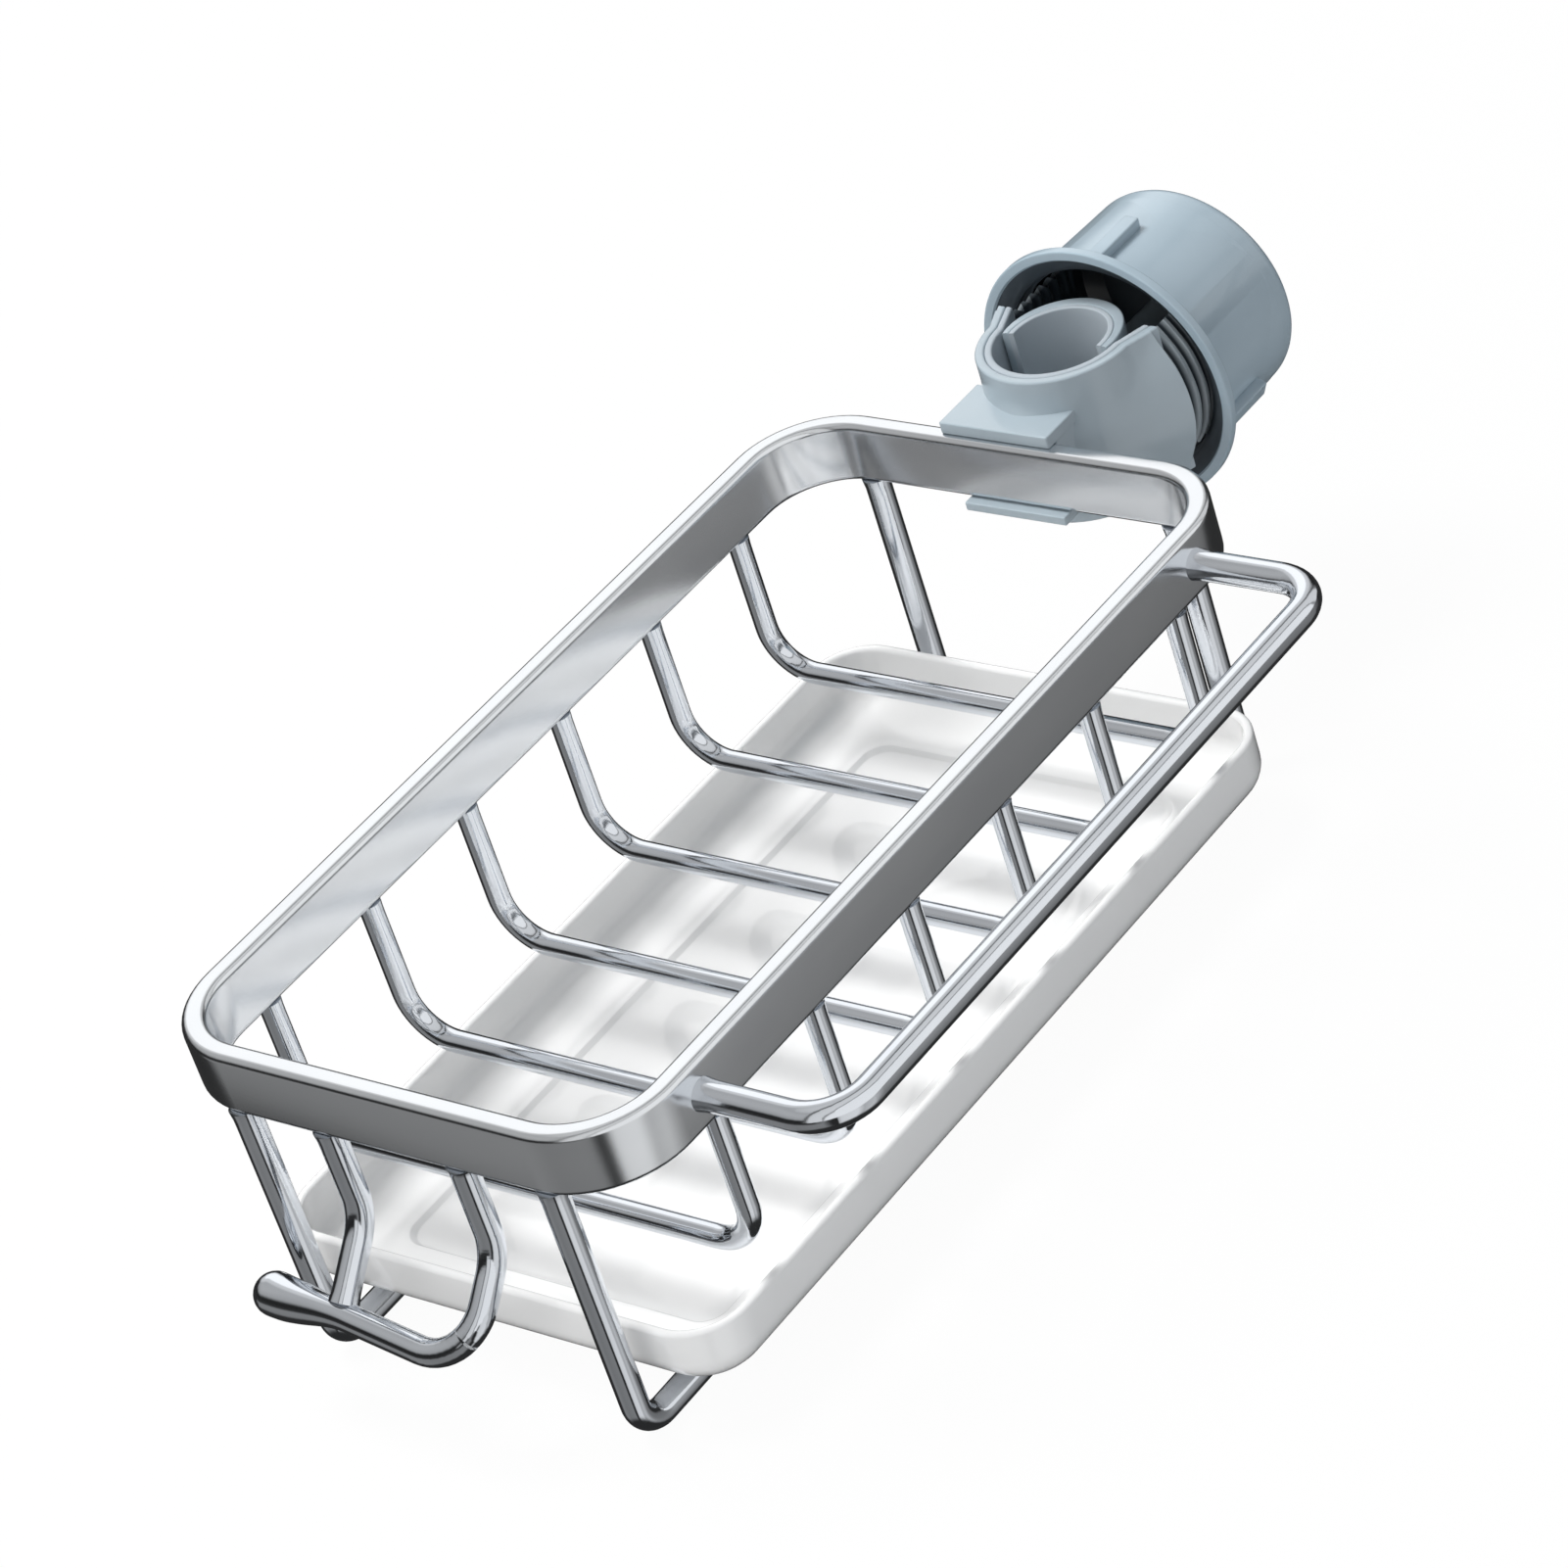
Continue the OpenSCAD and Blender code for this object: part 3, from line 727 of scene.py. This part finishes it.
def make_tray():
    """Dish: its profile is carried round a rounded rectangle. Under its upright
    lip the wall turns in as a quarter of an ellipse, (draft (1 - cos t),
    foot (1 - sin t)), its floor steps down to a recess, and the floor and the
    underside are closed flat."""
    t = np.linspace(np.pi / 2, 0, 15)[:, None]
    floor = TRAY_WALL + TRAY_STEP
    outside = np.hstack([TRAY_DRAFT * (1 - np.cos(t)), TRAY_FOOT * (1 - np.sin(t))])
    inside = np.hstack([TRAY_INNER_DRAFT * (1 - np.cos(t)), (TRAY_FOOT - TRAY_WALL) * (1 - np.sin(t))])
    recess = TRAY_WALL + TRAY_INNER_DRAFT + TRAY_MARGIN
    ease = TRAY_STEP_WIDTH / 4
    profile = np.vstack([
        [[TRAY_DRAFT + 4, 0]],
        outside,
        quarter((TRAY_LIP, TRAY_HEIGHT - TRAY_LIP), -TRAY_LIP, 180),
        quarter((TRAY_WALL - TRAY_LIP, TRAY_HEIGHT - TRAY_LIP), -TRAY_LIP, 90),
        inside[::-1] + [TRAY_WALL, floor],
        [[recess, floor], [recess + ease, floor - 0.1]],
        [[recess + 3 * ease, TRAY_WALL + 0.1], [recess + TRAY_STEP_WIDTH, TRAY_WALL]],
        [[recess + 6, TRAY_WALL]],
    ])
    profile = profile + [0, TRAY_BOTTOM]
    rings = round_sweep(
        TRAY_WIDTH, TRAY_LENGTH, TRAY_CORNER, profile, (0, RIM_MIDDLE_Y), TRAY_LEAST_CORNER
    )
    add_piece("drip_tray_dish", [skin(rings)], TRAY, "tray", ["drip_tray"], sharp=60)


def fixed_jaw_path():
    """Inner face of the fixed jaw in plan, from its right tip round to its left
    one, with the direction that points out of the wall at each place. Two close
    places at each shoulder make the cone end there in a step."""
    y = np.concatenate([[JAW_TIP_Y, SHOULDER_Y + 0.02], np.linspace(SHOULDER_Y, 0, 10)[:-1]])
    x = JAW_RADIUS + (SLOT_HALF - JAW_RADIUS) * y / JAW_TIP_Y
    turn = -np.linspace(0, np.pi, 61)
    arc = np.stack([np.cos(turn), np.sin(turn)], -1)
    right = np.stack([x, y], -1)
    left = right[::-1] * [-1, 1]
    aside = np.zeros((len(y), 2))
    aside[:, 0] = 1
    return np.vstack([right, JAW_RADIUS * arc, left]), np.vstack([aside, arc, -aside])


def bracket_depth(places, outward):
    """How far the bracket's outer face stands off the jaw's inner face: the jaw's
    own wall or the cone, whichever is further, rounded where they meet. The
    cone's depth d solves |(x + d nx, z)| = r + s (y + d ny), r its radius at
    y = 0 and s its slope. It stops at the band's back."""
    slope = (SHOULDER_RADIUS - CONE_RADIUS) / (SHOULDER_Y - BAND_BACK_Y)
    (x, y), (nx, ny) = places.T[:, :, None], outward.T[:, :, None]
    radius = CONE_RADIUS + slope * (y - BAND_BACK_Y)
    endless = 99.0
    room = np.where(ny < -0.01, (y - BAND_BACK_Y) / np.maximum(-ny, 0.01), endless)

    def outer(z):
        """Depth of the outer face at each height z."""
        a = nx ** 2 - (slope * ny) ** 2
        b = x * nx - radius * slope * ny
        c = x ** 2 + z ** 2 - radius ** 2
        cone = -c / (b + np.sqrt(np.maximum(b ** 2 - a * c, 1e-6)))
        cone = np.where((c < 0) & (y <= SHOULDER_Y), np.minimum(cone, room), 0.0)
        blend = np.where(cone > 0, CONE_BLEND, 0.0)
        return (cone + JAW_WALL + np.sqrt((cone - JAW_WALL) ** 2 + blend ** 2)) / 2

    return outer


def threaded_arm(side):
    """One of the two arms that the nut runs on: a slice of a threaded rod outside
    the slot, chamfered at its end. Its outer face is
    r = core + height * ridge(angle, y)."""
    y = np.arange(SHOULDER_Y - 0.5, THREAD_END_Y, THREAD_PITCH / THREAD_ROWS)[:, None]
    half = np.arccos(SLOT_HALF / THREAD_CORE)
    angle = np.linspace(-half, half, 33)[None, :] + (np.pi if side < 0 else 0)
    ridge = faded(y, THREAD_START_Y - 1.2, THREAD_END_Y - 0.6, 1.0)
    ridge = ridge * thread_ridge(angle, y, THREAD_START_Y, THREAD_FOOT, THREAD_CREST)
    core = THREAD_CORE - ARM_CHAMFER * np.clip(y - THREAD_END_Y + ARM_CHAMFER, 0, 1)
    radius = core + THREAD_HEIGHT * ridge
    outer = np.stack([radius * np.cos(angle), y + 0 * angle, radius * np.sin(angle)], -1)
    t = np.linspace(0, 1, 9)[1:-1][None, :, None]
    inner = outer[:, -1:] * (1 - t) + outer[:, :1] * t
    inner[..., 0] = side * SLOT_HALF
    return skin(np.concatenate([outer, inner], 1))


def make_bracket():
    """Fixed half of the clamp: jaw, cone, threaded arms, and the clip, whose two
    plates grip the band from above and below."""
    places, outward = fixed_jaw_path()
    front = BAND_BACK_Y - BAND_THICKNESS
    clip = block(
        (CLIP_LEFT, BAND_BACK_Y, RIM_BOTTOM - CLIP_OVERLAP),
        (TOP_PLATE_RIGHT - CLIP_INSET, BAND_BACK_Y + CLIP_DEPTH, RIM_TOP + CLIP_OVERLAP),
        CLIP_ROUNDING,
    )
    top_plate = block(
        (TOP_PLATE_LEFT, BAND_BACK_Y - TOP_PLATE_LIP, RIM_TOP),
        (TOP_PLATE_RIGHT, BAND_BACK_Y + CLIP_DEPTH + TOP_PLATE_TAIL, RIM_TOP + TOP_PLATE),
        PLATE_ROUNDING,
    )
    under_plate = block(
        (CLIP_LEFT + CLIP_INSET, front - UNDER_PLATE_LIP, RIM_BOTTOM - CLIP_PLATE),
        (CLIP_RIGHT, BAND_BACK_Y + UNDER_PLATE_TAIL, RIM_BOTTOM),
        PLATE_ROUNDING,
    )
    jaw = wall(places, outward, JAW_LINING, bracket_depth(places, outward), JAW_TOP)
    shells = [jaw, clip, top_plate, under_plate]
    add_piece("bracket_body", shells, BRACKET, "rack", ["clamp_bracket"])
    arms = [threaded_arm(1), threaded_arm(-1)]
    add_piece("bracket_threads", arms, THREAD, "rack", ["clamp_bracket"])
    lining = wall(places, outward, 0.0, lambda z: np.full((len(places), len(z)), JAW_LINING), JAW_TOP)
    add_piece("fixed_jaw_lining", [lining], LINING, "rack", ["fixed_lining"])


def make_moving_jaw():
    """Open arch round the neck with its guides, and the stem that turns in the
    nut. The arch's outer face is a circle set back from the neck's axis, which
    stands sin(a) s + sqrt(R^2 - s^2 cos(a)^2) off the axis at angle a."""
    a = np.linspace(ARCH_END, np.pi - ARCH_END, 81)
    outward = np.stack([np.cos(a), np.sin(a)], -1)
    inner = SEAT_RADIUS + SEAT_LINING
    reach = ARCH_SHIFT * np.sin(a) + np.sqrt(ARCH_RADIUS ** 2 - (ARCH_SHIFT * np.cos(a)) ** 2)
    arch = wall(
        inner * outward, outward, 0.0, lambda z: (reach - inner)[:, None] + 0 * z, ARCH_TOP, rounding=0.4
    )
    guides = block(
        (-GUIDE_HALF, GUIDE_FRONT_Y, -GUIDE_HALF_HEIGHT),
        (GUIDE_HALF, GUIDE_BACK_Y, GUIDE_HALF_HEIGHT),
        GUIDE_ROUNDING,
    )
    button_y = STEM_TIP_Y - BUTTON_LENGTH
    stem = skin(turned([
        (1, STEM_START_Y),
        (STEM_RADIUS, STEM_START_Y),
        (STEM_RADIUS, button_y),
        (BUTTON_RADIUS - BUTTON_EDGE, button_y),
        (BUTTON_RADIUS, button_y + BUTTON_EDGE),
        (BUTTON_RADIUS, STEM_TIP_Y - BUTTON_EDGE),
        (BUTTON_RADIUS - BUTTON_EDGE, STEM_TIP_Y),
        (1, STEM_TIP_Y),
    ], 48))
    add_piece("moving_jaw_body", [arch, guides, stem], BRACKET, "jaw", ["clamp_jaw"])
    lining = wall(
        SEAT_RADIUS * outward, outward, 0.0, lambda z: np.full((len(a), len(z)), SEAT_LINING), ARCH_TOP,
        rounding=0.3,
    )
    add_piece("moving_jaw_lining", [lining], LINING, "jaw", ["moving_lining"])


def make_nut():
    """Flanged cap: a profile turned round the screw's axis, with grip ribs. Its
    bore is a skin of its own in near-black painted shade, threaded near the mouth,
    with a boss that holds the stem's button. Both skins are closed, and they meet in the mouth.
    The profiles give (r, y)."""
    small = NUT_RADIUS - NUT_TAPER
    flange_y = NUT_MOUTH_Y + FLANGE_THICKNESS
    floor = NUT_BACK_Y - NUT_END
    thread_rows = np.arange(NUT_MOUTH_Y + 2.7, NUT_THREAD_END_Y + 0.2, THREAD_PITCH / THREAD_ROWS)
    mouth = [NUT_FLANGE - 2.3, NUT_MOUTH_Y + 0.4]
    outside = np.vstack([
        [[8, NUT_BACK_Y]],
        quarter((small - NUT_ROUNDING, NUT_BACK_Y - NUT_ROUNDING), NUT_ROUNDING, 0)[::-1],
        [[NUT_RADIUS, flange_y + 0.6], [NUT_RADIUS + 0.2, flange_y + 0.2], [NUT_RADIUS + 0.6, flange_y]],
        quarter((NUT_FLANGE - 0.5, flange_y - 0.5), 0.5, 0)[::-1],
        quarter((NUT_FLANGE - 0.4, NUT_MOUTH_Y + 0.4), 0.4, 270)[::-1],
        [[NUT_FLANGE - 1.9, NUT_MOUTH_Y], mouth, [NUT_BORE + 1.2, NUT_MOUTH_Y + 2.4]],
        [[NUT_BORE + 0.3, NUT_MOUTH_Y + 3], [NUT_BORE + 0.3, floor - 2.9], [NUT_BORE - 2.9, floor + 0.3]],
        [[10, floor + 0.3]],
    ])
    inside = np.vstack([
        [mouth, [NUT_BORE + 0.9, NUT_MOUTH_Y + 2.1]],
        np.stack([np.full(len(thread_rows), NUT_BORE), thread_rows], -1),
        [[NUT_BORE, floor - 3], [NUT_BORE - 3, floor], [10, floor], [10, floor + 0.2]],
        [[NUT_BORE - 2.9, floor + 0.2], [NUT_BORE + 0.2, floor - 2.9], [NUT_BORE + 0.2, NUT_MOUTH_Y + 2.9]],
        [[NUT_BORE + 1.1, NUT_MOUTH_Y + 2.3]],
    ])

    def ridges(a, y):
        """Four faint ridges along the outside, between which the radius falls by
        |sin 2 (a - start)| of the ridge's height."""
        behind = (outside[:, :1] > NUT_BORE + 0.5) & (y > flange_y + 0.4)
        return behind * NUT_RIDGE * np.abs(np.sin(2 * (a - NUT_RIDGE_ANGLE)))

    def thread(a, y):
        """The thread inside the bore, fading out at both its ends."""
        window = (inside[:, :1] < NUT_BORE + 0.1) * faded(y, NUT_MOUTH_Y + 2.8, NUT_THREAD_END_Y, 0.8)
        start = THREAD_START_Y + THREAD_PITCH * 1.5
        return NUT_THREAD_HEIGHT * window * thread_ridge(a, y, start, NUT_THREAD_FOOT, NUT_THREAD_CREST)

    shell = skin(turned(outside, 180, ridges))
    lining = loop_skin(turned(inside, 180, thread))
    button_y = STEM_TIP_Y - BUTTON_LENGTH - SWIVEL_PLAY
    boss = loop_skin(turned([
        (BOSS_RADIUS, STEM_TIP_Y - BOSS_LENGTH),
        (STEM_RADIUS + SWIVEL_PLAY, STEM_TIP_Y - BOSS_LENGTH),
        (STEM_RADIUS + SWIVEL_PLAY, button_y),
        (BUTTON_RADIUS + SWIVEL_PLAY, button_y),
        (BUTTON_RADIUS + SWIVEL_PLAY, STEM_TIP_Y + SWIVEL_PLAY),
        (BOSS_RADIUS, floor + 0.5),
    ], 48))
    points, faces = block(
        (NUT_RADIUS - GRIP_ROOT, flange_y + 0.4, -GRIP_HALF),
        (NUT_RADIUS + GRIP_HEIGHT, flange_y + GRIP_LENGTH, GRIP_HALF),
        GRIP_ROUNDING,
    )
    grips = [(about_screw(points, angle), faces) for angle in GRIP_ANGLES]
    add_piece("clamp_nut_shell", [shell, *grips], NUT, "nut", ["clamp_nut"])
    # The bore and its boss carry the near-black painted shade
    add_piece("clamp_nut_bore", [lining, boss], PAINTED_BORE_SHADE, "nut", ["clamp_nut"])


make_rim()
make_ribs()
make_rails()
make_towel_bar()
make_hook()
make_tray()
make_bracket()
make_moving_jaw()
make_nut()

# Floor, in metres, and how much of what the camera sees of it is plain white
FLOOR_HALF = 6.0
FLOOR_GAP = 0.0002
FLOOR_GLOW = 0.96

# Camera: the photograph's own, found from the rim's straight edges
CAMERA_PLACE = (0.65881, -0.73338, 0.57908)
CAMERA_RIGHT = (0.77840, 0.56787, -0.26761)
CAMERA_UP = (-0.15666, 0.58852, 0.79316)
CAMERA_BACK = (0.60791, -0.57547, 0.54707)
CAMERA_LENS = 131.0
CAMERA_SENSOR = 36.0


def make_camera():
    """Camera at its place, its axes the columns of its turn."""
    data = bpy.data.cameras.new("camera")
    data.lens = CAMERA_LENS
    data.sensor_width = CAMERA_SENSOR
    data.clip_start, data.clip_end = 0.05, 50.0
    camera = bpy.data.objects.new("camera", data)
    turn = Matrix((CAMERA_RIGHT, CAMERA_UP, CAMERA_BACK)).transposed()
    camera.matrix_world = Matrix.Translation(CAMERA_PLACE) @ turn.normalized().to_4x4()
    bpy.context.scene.collection.objects.link(camera)
    bpy.context.scene.camera = camera


def make_floor():
    """Pale floor just under the rails. The camera sees it nearly white, with the
    object's soft shadow on it."""
    half, low = FLOOR_HALF, (RAIL_Z - RAIL_WIRE / 2) * MM - FLOOR_GAP
    mesh = bpy.data.meshes.new("floor")
    corners = [(-half, -half, low), (half, -half, low), (half, half, low), (-half, half, low)]
    mesh.from_pydata(corners, [], [(0, 1, 2, 3)])
    material = bpy.data.materials.new("pale_floor")
    material.use_nodes = True
    tree = material.node_tree
    shader = tree.nodes["Principled BSDF"]
    shader.inputs["Base Color"].default_value = grey(0.8)
    shader.inputs["Roughness"].default_value = 0.9
    glow = tree.nodes.new("ShaderNodeEmission")
    glow.inputs["Color"].default_value = grey(1.0)
    mix = tree.nodes.new("ShaderNodeMixShader")
    seen = tree.nodes.new("ShaderNodeLightPath")
    share = new_node(tree, "ShaderNodeMath", operation="MULTIPLY")
    share.inputs[1].default_value = FLOOR_GLOW
    tree.links.new(seen.outputs["Is Camera Ray"], share.inputs[0])
    tree.links.new(share.outputs[0], mix.inputs["Fac"])
    tree.links.new(shader.outputs[0], mix.inputs[1])
    tree.links.new(glow.outputs[0], mix.inputs[2])
    tree.links.new(mix.outputs[0], tree.nodes["Material Output"].inputs["Surface"])
    mesh.materials.append(material)
    floor = bpy.data.objects.new("floor", mesh)
    bpy.context.scene.collection.objects.link(floor)
    floor.visible_glossy = False


# Studio that the steel shows. Sky greys go by height on the left, and by x on the
# right. Ground greys go by the turn of the compass from 0 to 1, which is 0.379
# towards the camera.
SKY = [
    (0.0, 0.02), (0.22, 0.03), (0.38, 0.40), (0.62, 0.50),
    (0.76, 0.50), (0.85, 0.45), (0.91, 0.60), (1.0, 0.70),
]
RIGHT_SKY = [
    (0.0, 0.12), (0.04, 0.15), (0.08, 0.75), (0.44, 0.80),
    (0.465, 0.22), (0.50, 0.22), (0.525, 1.0), (1.0, 1.0),
]
GROUND = [
    (0.0, 0.02), (0.068, 0.02), (0.085, 0.23), (0.12, 0.26), (0.20, 0.22), (0.33, 0.25),
    (0.352, 0.02), (0.375, 0.02), (0.395, 0.80), (0.47, 0.85), (0.50, 0.50), (0.55, 0.62),
    (0.585, 0.40), (0.60, 0.28), (0.62, 0.215), (0.665, 0.18), (0.70, 0.02), (1.0, 0.02),
]
FAR_BOX = (-0.608, 0.575, 0.547)
DARK_SIDE = (-0.608, 0.575, -0.547)
HALO_GREY = 0.75
BOX_GREY = 1.3
DARK = 0.03
DARKEST = 0.02

# Where one part of the studio gives way to the next, as heights, as x, or as
# cosines of the angle from a direction
BOX_HALO = (0.80, 0.90)
BOX_EDGE = (0.93, 0.97)
SKY_FOOT = (0.12, 0.26)
LEFT_TO_RIGHT = (-0.06, -0.02)
HORIZON_OPENS = (0.2, 0.5)
DARK_SIDE_EDGE = (0.42, 0.60)
STRAIGHT_DOWN = (-0.86, -0.70)
HORIZON_FOOT = (-0.28, -0.12)
GROUND_TO_SKY = (-0.03, 0.03)

# Even light on plastics: its strength, its tints on the left and on the right,
# and the x over which one becomes the other
EVEN_LIGHT = 0.56
EVEN_LEFT = grey(1.0)
EVEN_RIGHT = colour(0.56, 0.60, 0.65)
EVEN_TURN = (-0.3, 0.9)


def grey_ramp(tree, stops):
    """Colour ramp of greys from (place, brightness) pairs."""
    node = tree.nodes.new("ShaderNodeValToRGB")
    elements = node.color_ramp.elements
    while len(elements) > 1:
        elements.remove(elements[-1])
    elements[0].position = stops[0][0]
    elements[0].color = grey(stops[0][1])
    for place, level in stops[1:]:
        elements.new(place).color = grey(level)
    return node


def make_world():
    """Studio round the object. The camera sees white. Plastics are lit by an even
    light, paler on the left than on the right. Steel shows a graded studio: on
    the left a sky with a bright box on its far side, on the right a bright wall
    with two dark lines, a dark horizon that opens to the right, and below it
    greys that change with the compass direction."""
    world = bpy.data.worlds.new("studio")
    bpy.context.scene.world = world
    world.use_nodes = True
    tree = world.node_tree
    link = tree.links.new
    plain = tree.nodes["Background"]
    place = tree.nodes.new("ShaderNodeTexCoord")
    axes = tree.nodes.new("ShaderNodeSeparateXYZ")
    link(place.outputs["Generated"], axes.inputs[0])
    x, z = axes.outputs["X"], axes.outputs["Z"]

    def share(value, span):
        """Value as a smooth share of the way across a span."""
        node = new_node(tree, "ShaderNodeMapRange", interpolation_type="SMOOTHSTEP")
        node.inputs["From Min"].default_value, node.inputs["From Max"].default_value = span
        link(value, node.inputs["Value"])
        return node.outputs["Result"]

    def towards(direction):
        """Cosine of the angle from a direction."""
        node = new_node(tree, "ShaderNodeVectorMath", operation="DOT_PRODUCT")
        link(place.outputs["Generated"], node.inputs[0])
        node.inputs[1].default_value = direction
        return node.outputs["Value"]

    def blended(factor, below, above):
        """Mix of two colours, each of them a grey, a colour or a node's output."""
        node = new_node(tree, "ShaderNodeMix", data_type="RGBA")
        link(factor, node.inputs["Factor"])
        for socket, value in (("A", below), ("B", above)):
            if isinstance(value, float):
                node.inputs[socket].default_value = grey(value)
            elif isinstance(value, tuple):
                node.inputs[socket].default_value = value
            else:
                link(value, node.inputs[socket])
        return node.outputs["Result"]

    def graded(value, stops):
        """Grey that goes by a value."""
        ramp = grey_ramp(tree, stops)
        link(value, ramp.inputs["Fac"])
        return ramp.outputs["Color"]

    compass = new_node(tree, "ShaderNodeMath", operation="ARCTAN2")
    link(axes.outputs["Y"], compass.inputs[0])
    link(x, compass.inputs[1])
    turn = new_node(tree, "ShaderNodeMath", operation="MULTIPLY_ADD")
    turn.inputs[1].default_value = 1 / (2 * np.pi)
    turn.inputs[2].default_value = 0.5
    link(compass.outputs[0], turn.inputs[0])

    sky = blended(share(towards(FAR_BOX), BOX_HALO), graded(z, SKY), HALO_GREY)
    sky = blended(share(towards(FAR_BOX), BOX_EDGE), sky, BOX_GREY)
    sky = blended(share(z, SKY_FOOT), DARKEST, sky)
    sky = blended(share(x, LEFT_TO_RIGHT), sky, graded(x, RIGHT_SKY))
    lower = graded(turn.outputs[0], GROUND)
    horizon = blended(share(x, HORIZON_OPENS), DARK, lower)
    ground = blended(share(towards(DARK_SIDE), DARK_SIDE_EDGE), lower, DARK)
    ground = blended(share(z, STRAIGHT_DOWN), DARK, ground)
    ground = blended(share(z, HORIZON_FOOT), ground, horizon)

    studio = tree.nodes.new("ShaderNodeBackground")
    link(blended(share(z, GROUND_TO_SKY), ground, sky), studio.inputs["Color"])
    white = tree.nodes.new("ShaderNodeBackground")
    white.inputs["Color"].default_value = grey(1.0)
    link(blended(share(x, EVEN_TURN), EVEN_LEFT, EVEN_RIGHT), plain.inputs["Color"])
    plain.inputs["Strength"].default_value = EVEN_LIGHT
    seen = tree.nodes.new("ShaderNodeLightPath")
    first = tree.nodes.new("ShaderNodeMixShader")
    second = tree.nodes.new("ShaderNodeMixShader")
    link(seen.outputs["Is Glossy Ray"], first.inputs["Fac"])
    link(plain.outputs[0], first.inputs[1])
    link(studio.outputs[0], first.inputs[2])
    link(seen.outputs["Is Camera Ray"], second.inputs["Fac"])
    link(first.outputs[0], second.inputs[1])
    link(white.outputs[0], second.inputs[2])
    link(second.outputs[0], tree.nodes["World Output"].inputs["Surface"])


# Lamps: place, size across and power
LAMP_TARGET = (0.0, -0.1, -0.02)
KEY_LAMP = ((-0.7, -0.3, 1.6), 0.8, 27)
FRONT_LAMP = ((0.1, -1.5, 0.7), 0.9, 5)


def make_lamp(name, place, size, power):
    """Round lamp that looks at the object and isn't mirrored in it."""
    data = bpy.data.lights.new(name, "AREA")
    data.shape = "DISK"
    data.size = size
    data.energy = power
    lamp = bpy.data.objects.new(name, data)
    lamp.location = place
    lamp.rotation_euler = (Vector(LAMP_TARGET) - Vector(place)).to_track_quat("-Z", "Y").to_euler()
    lamp.visible_glossy = False
    bpy.context.scene.collection.objects.link(lamp)


make_camera()
make_floor()
make_world()
make_lamp("key_lamp", *KEY_LAMP)
make_lamp("front_lamp", *FRONT_LAMP)
bpy.context.scene.view_settings.view_transform = "Standard"
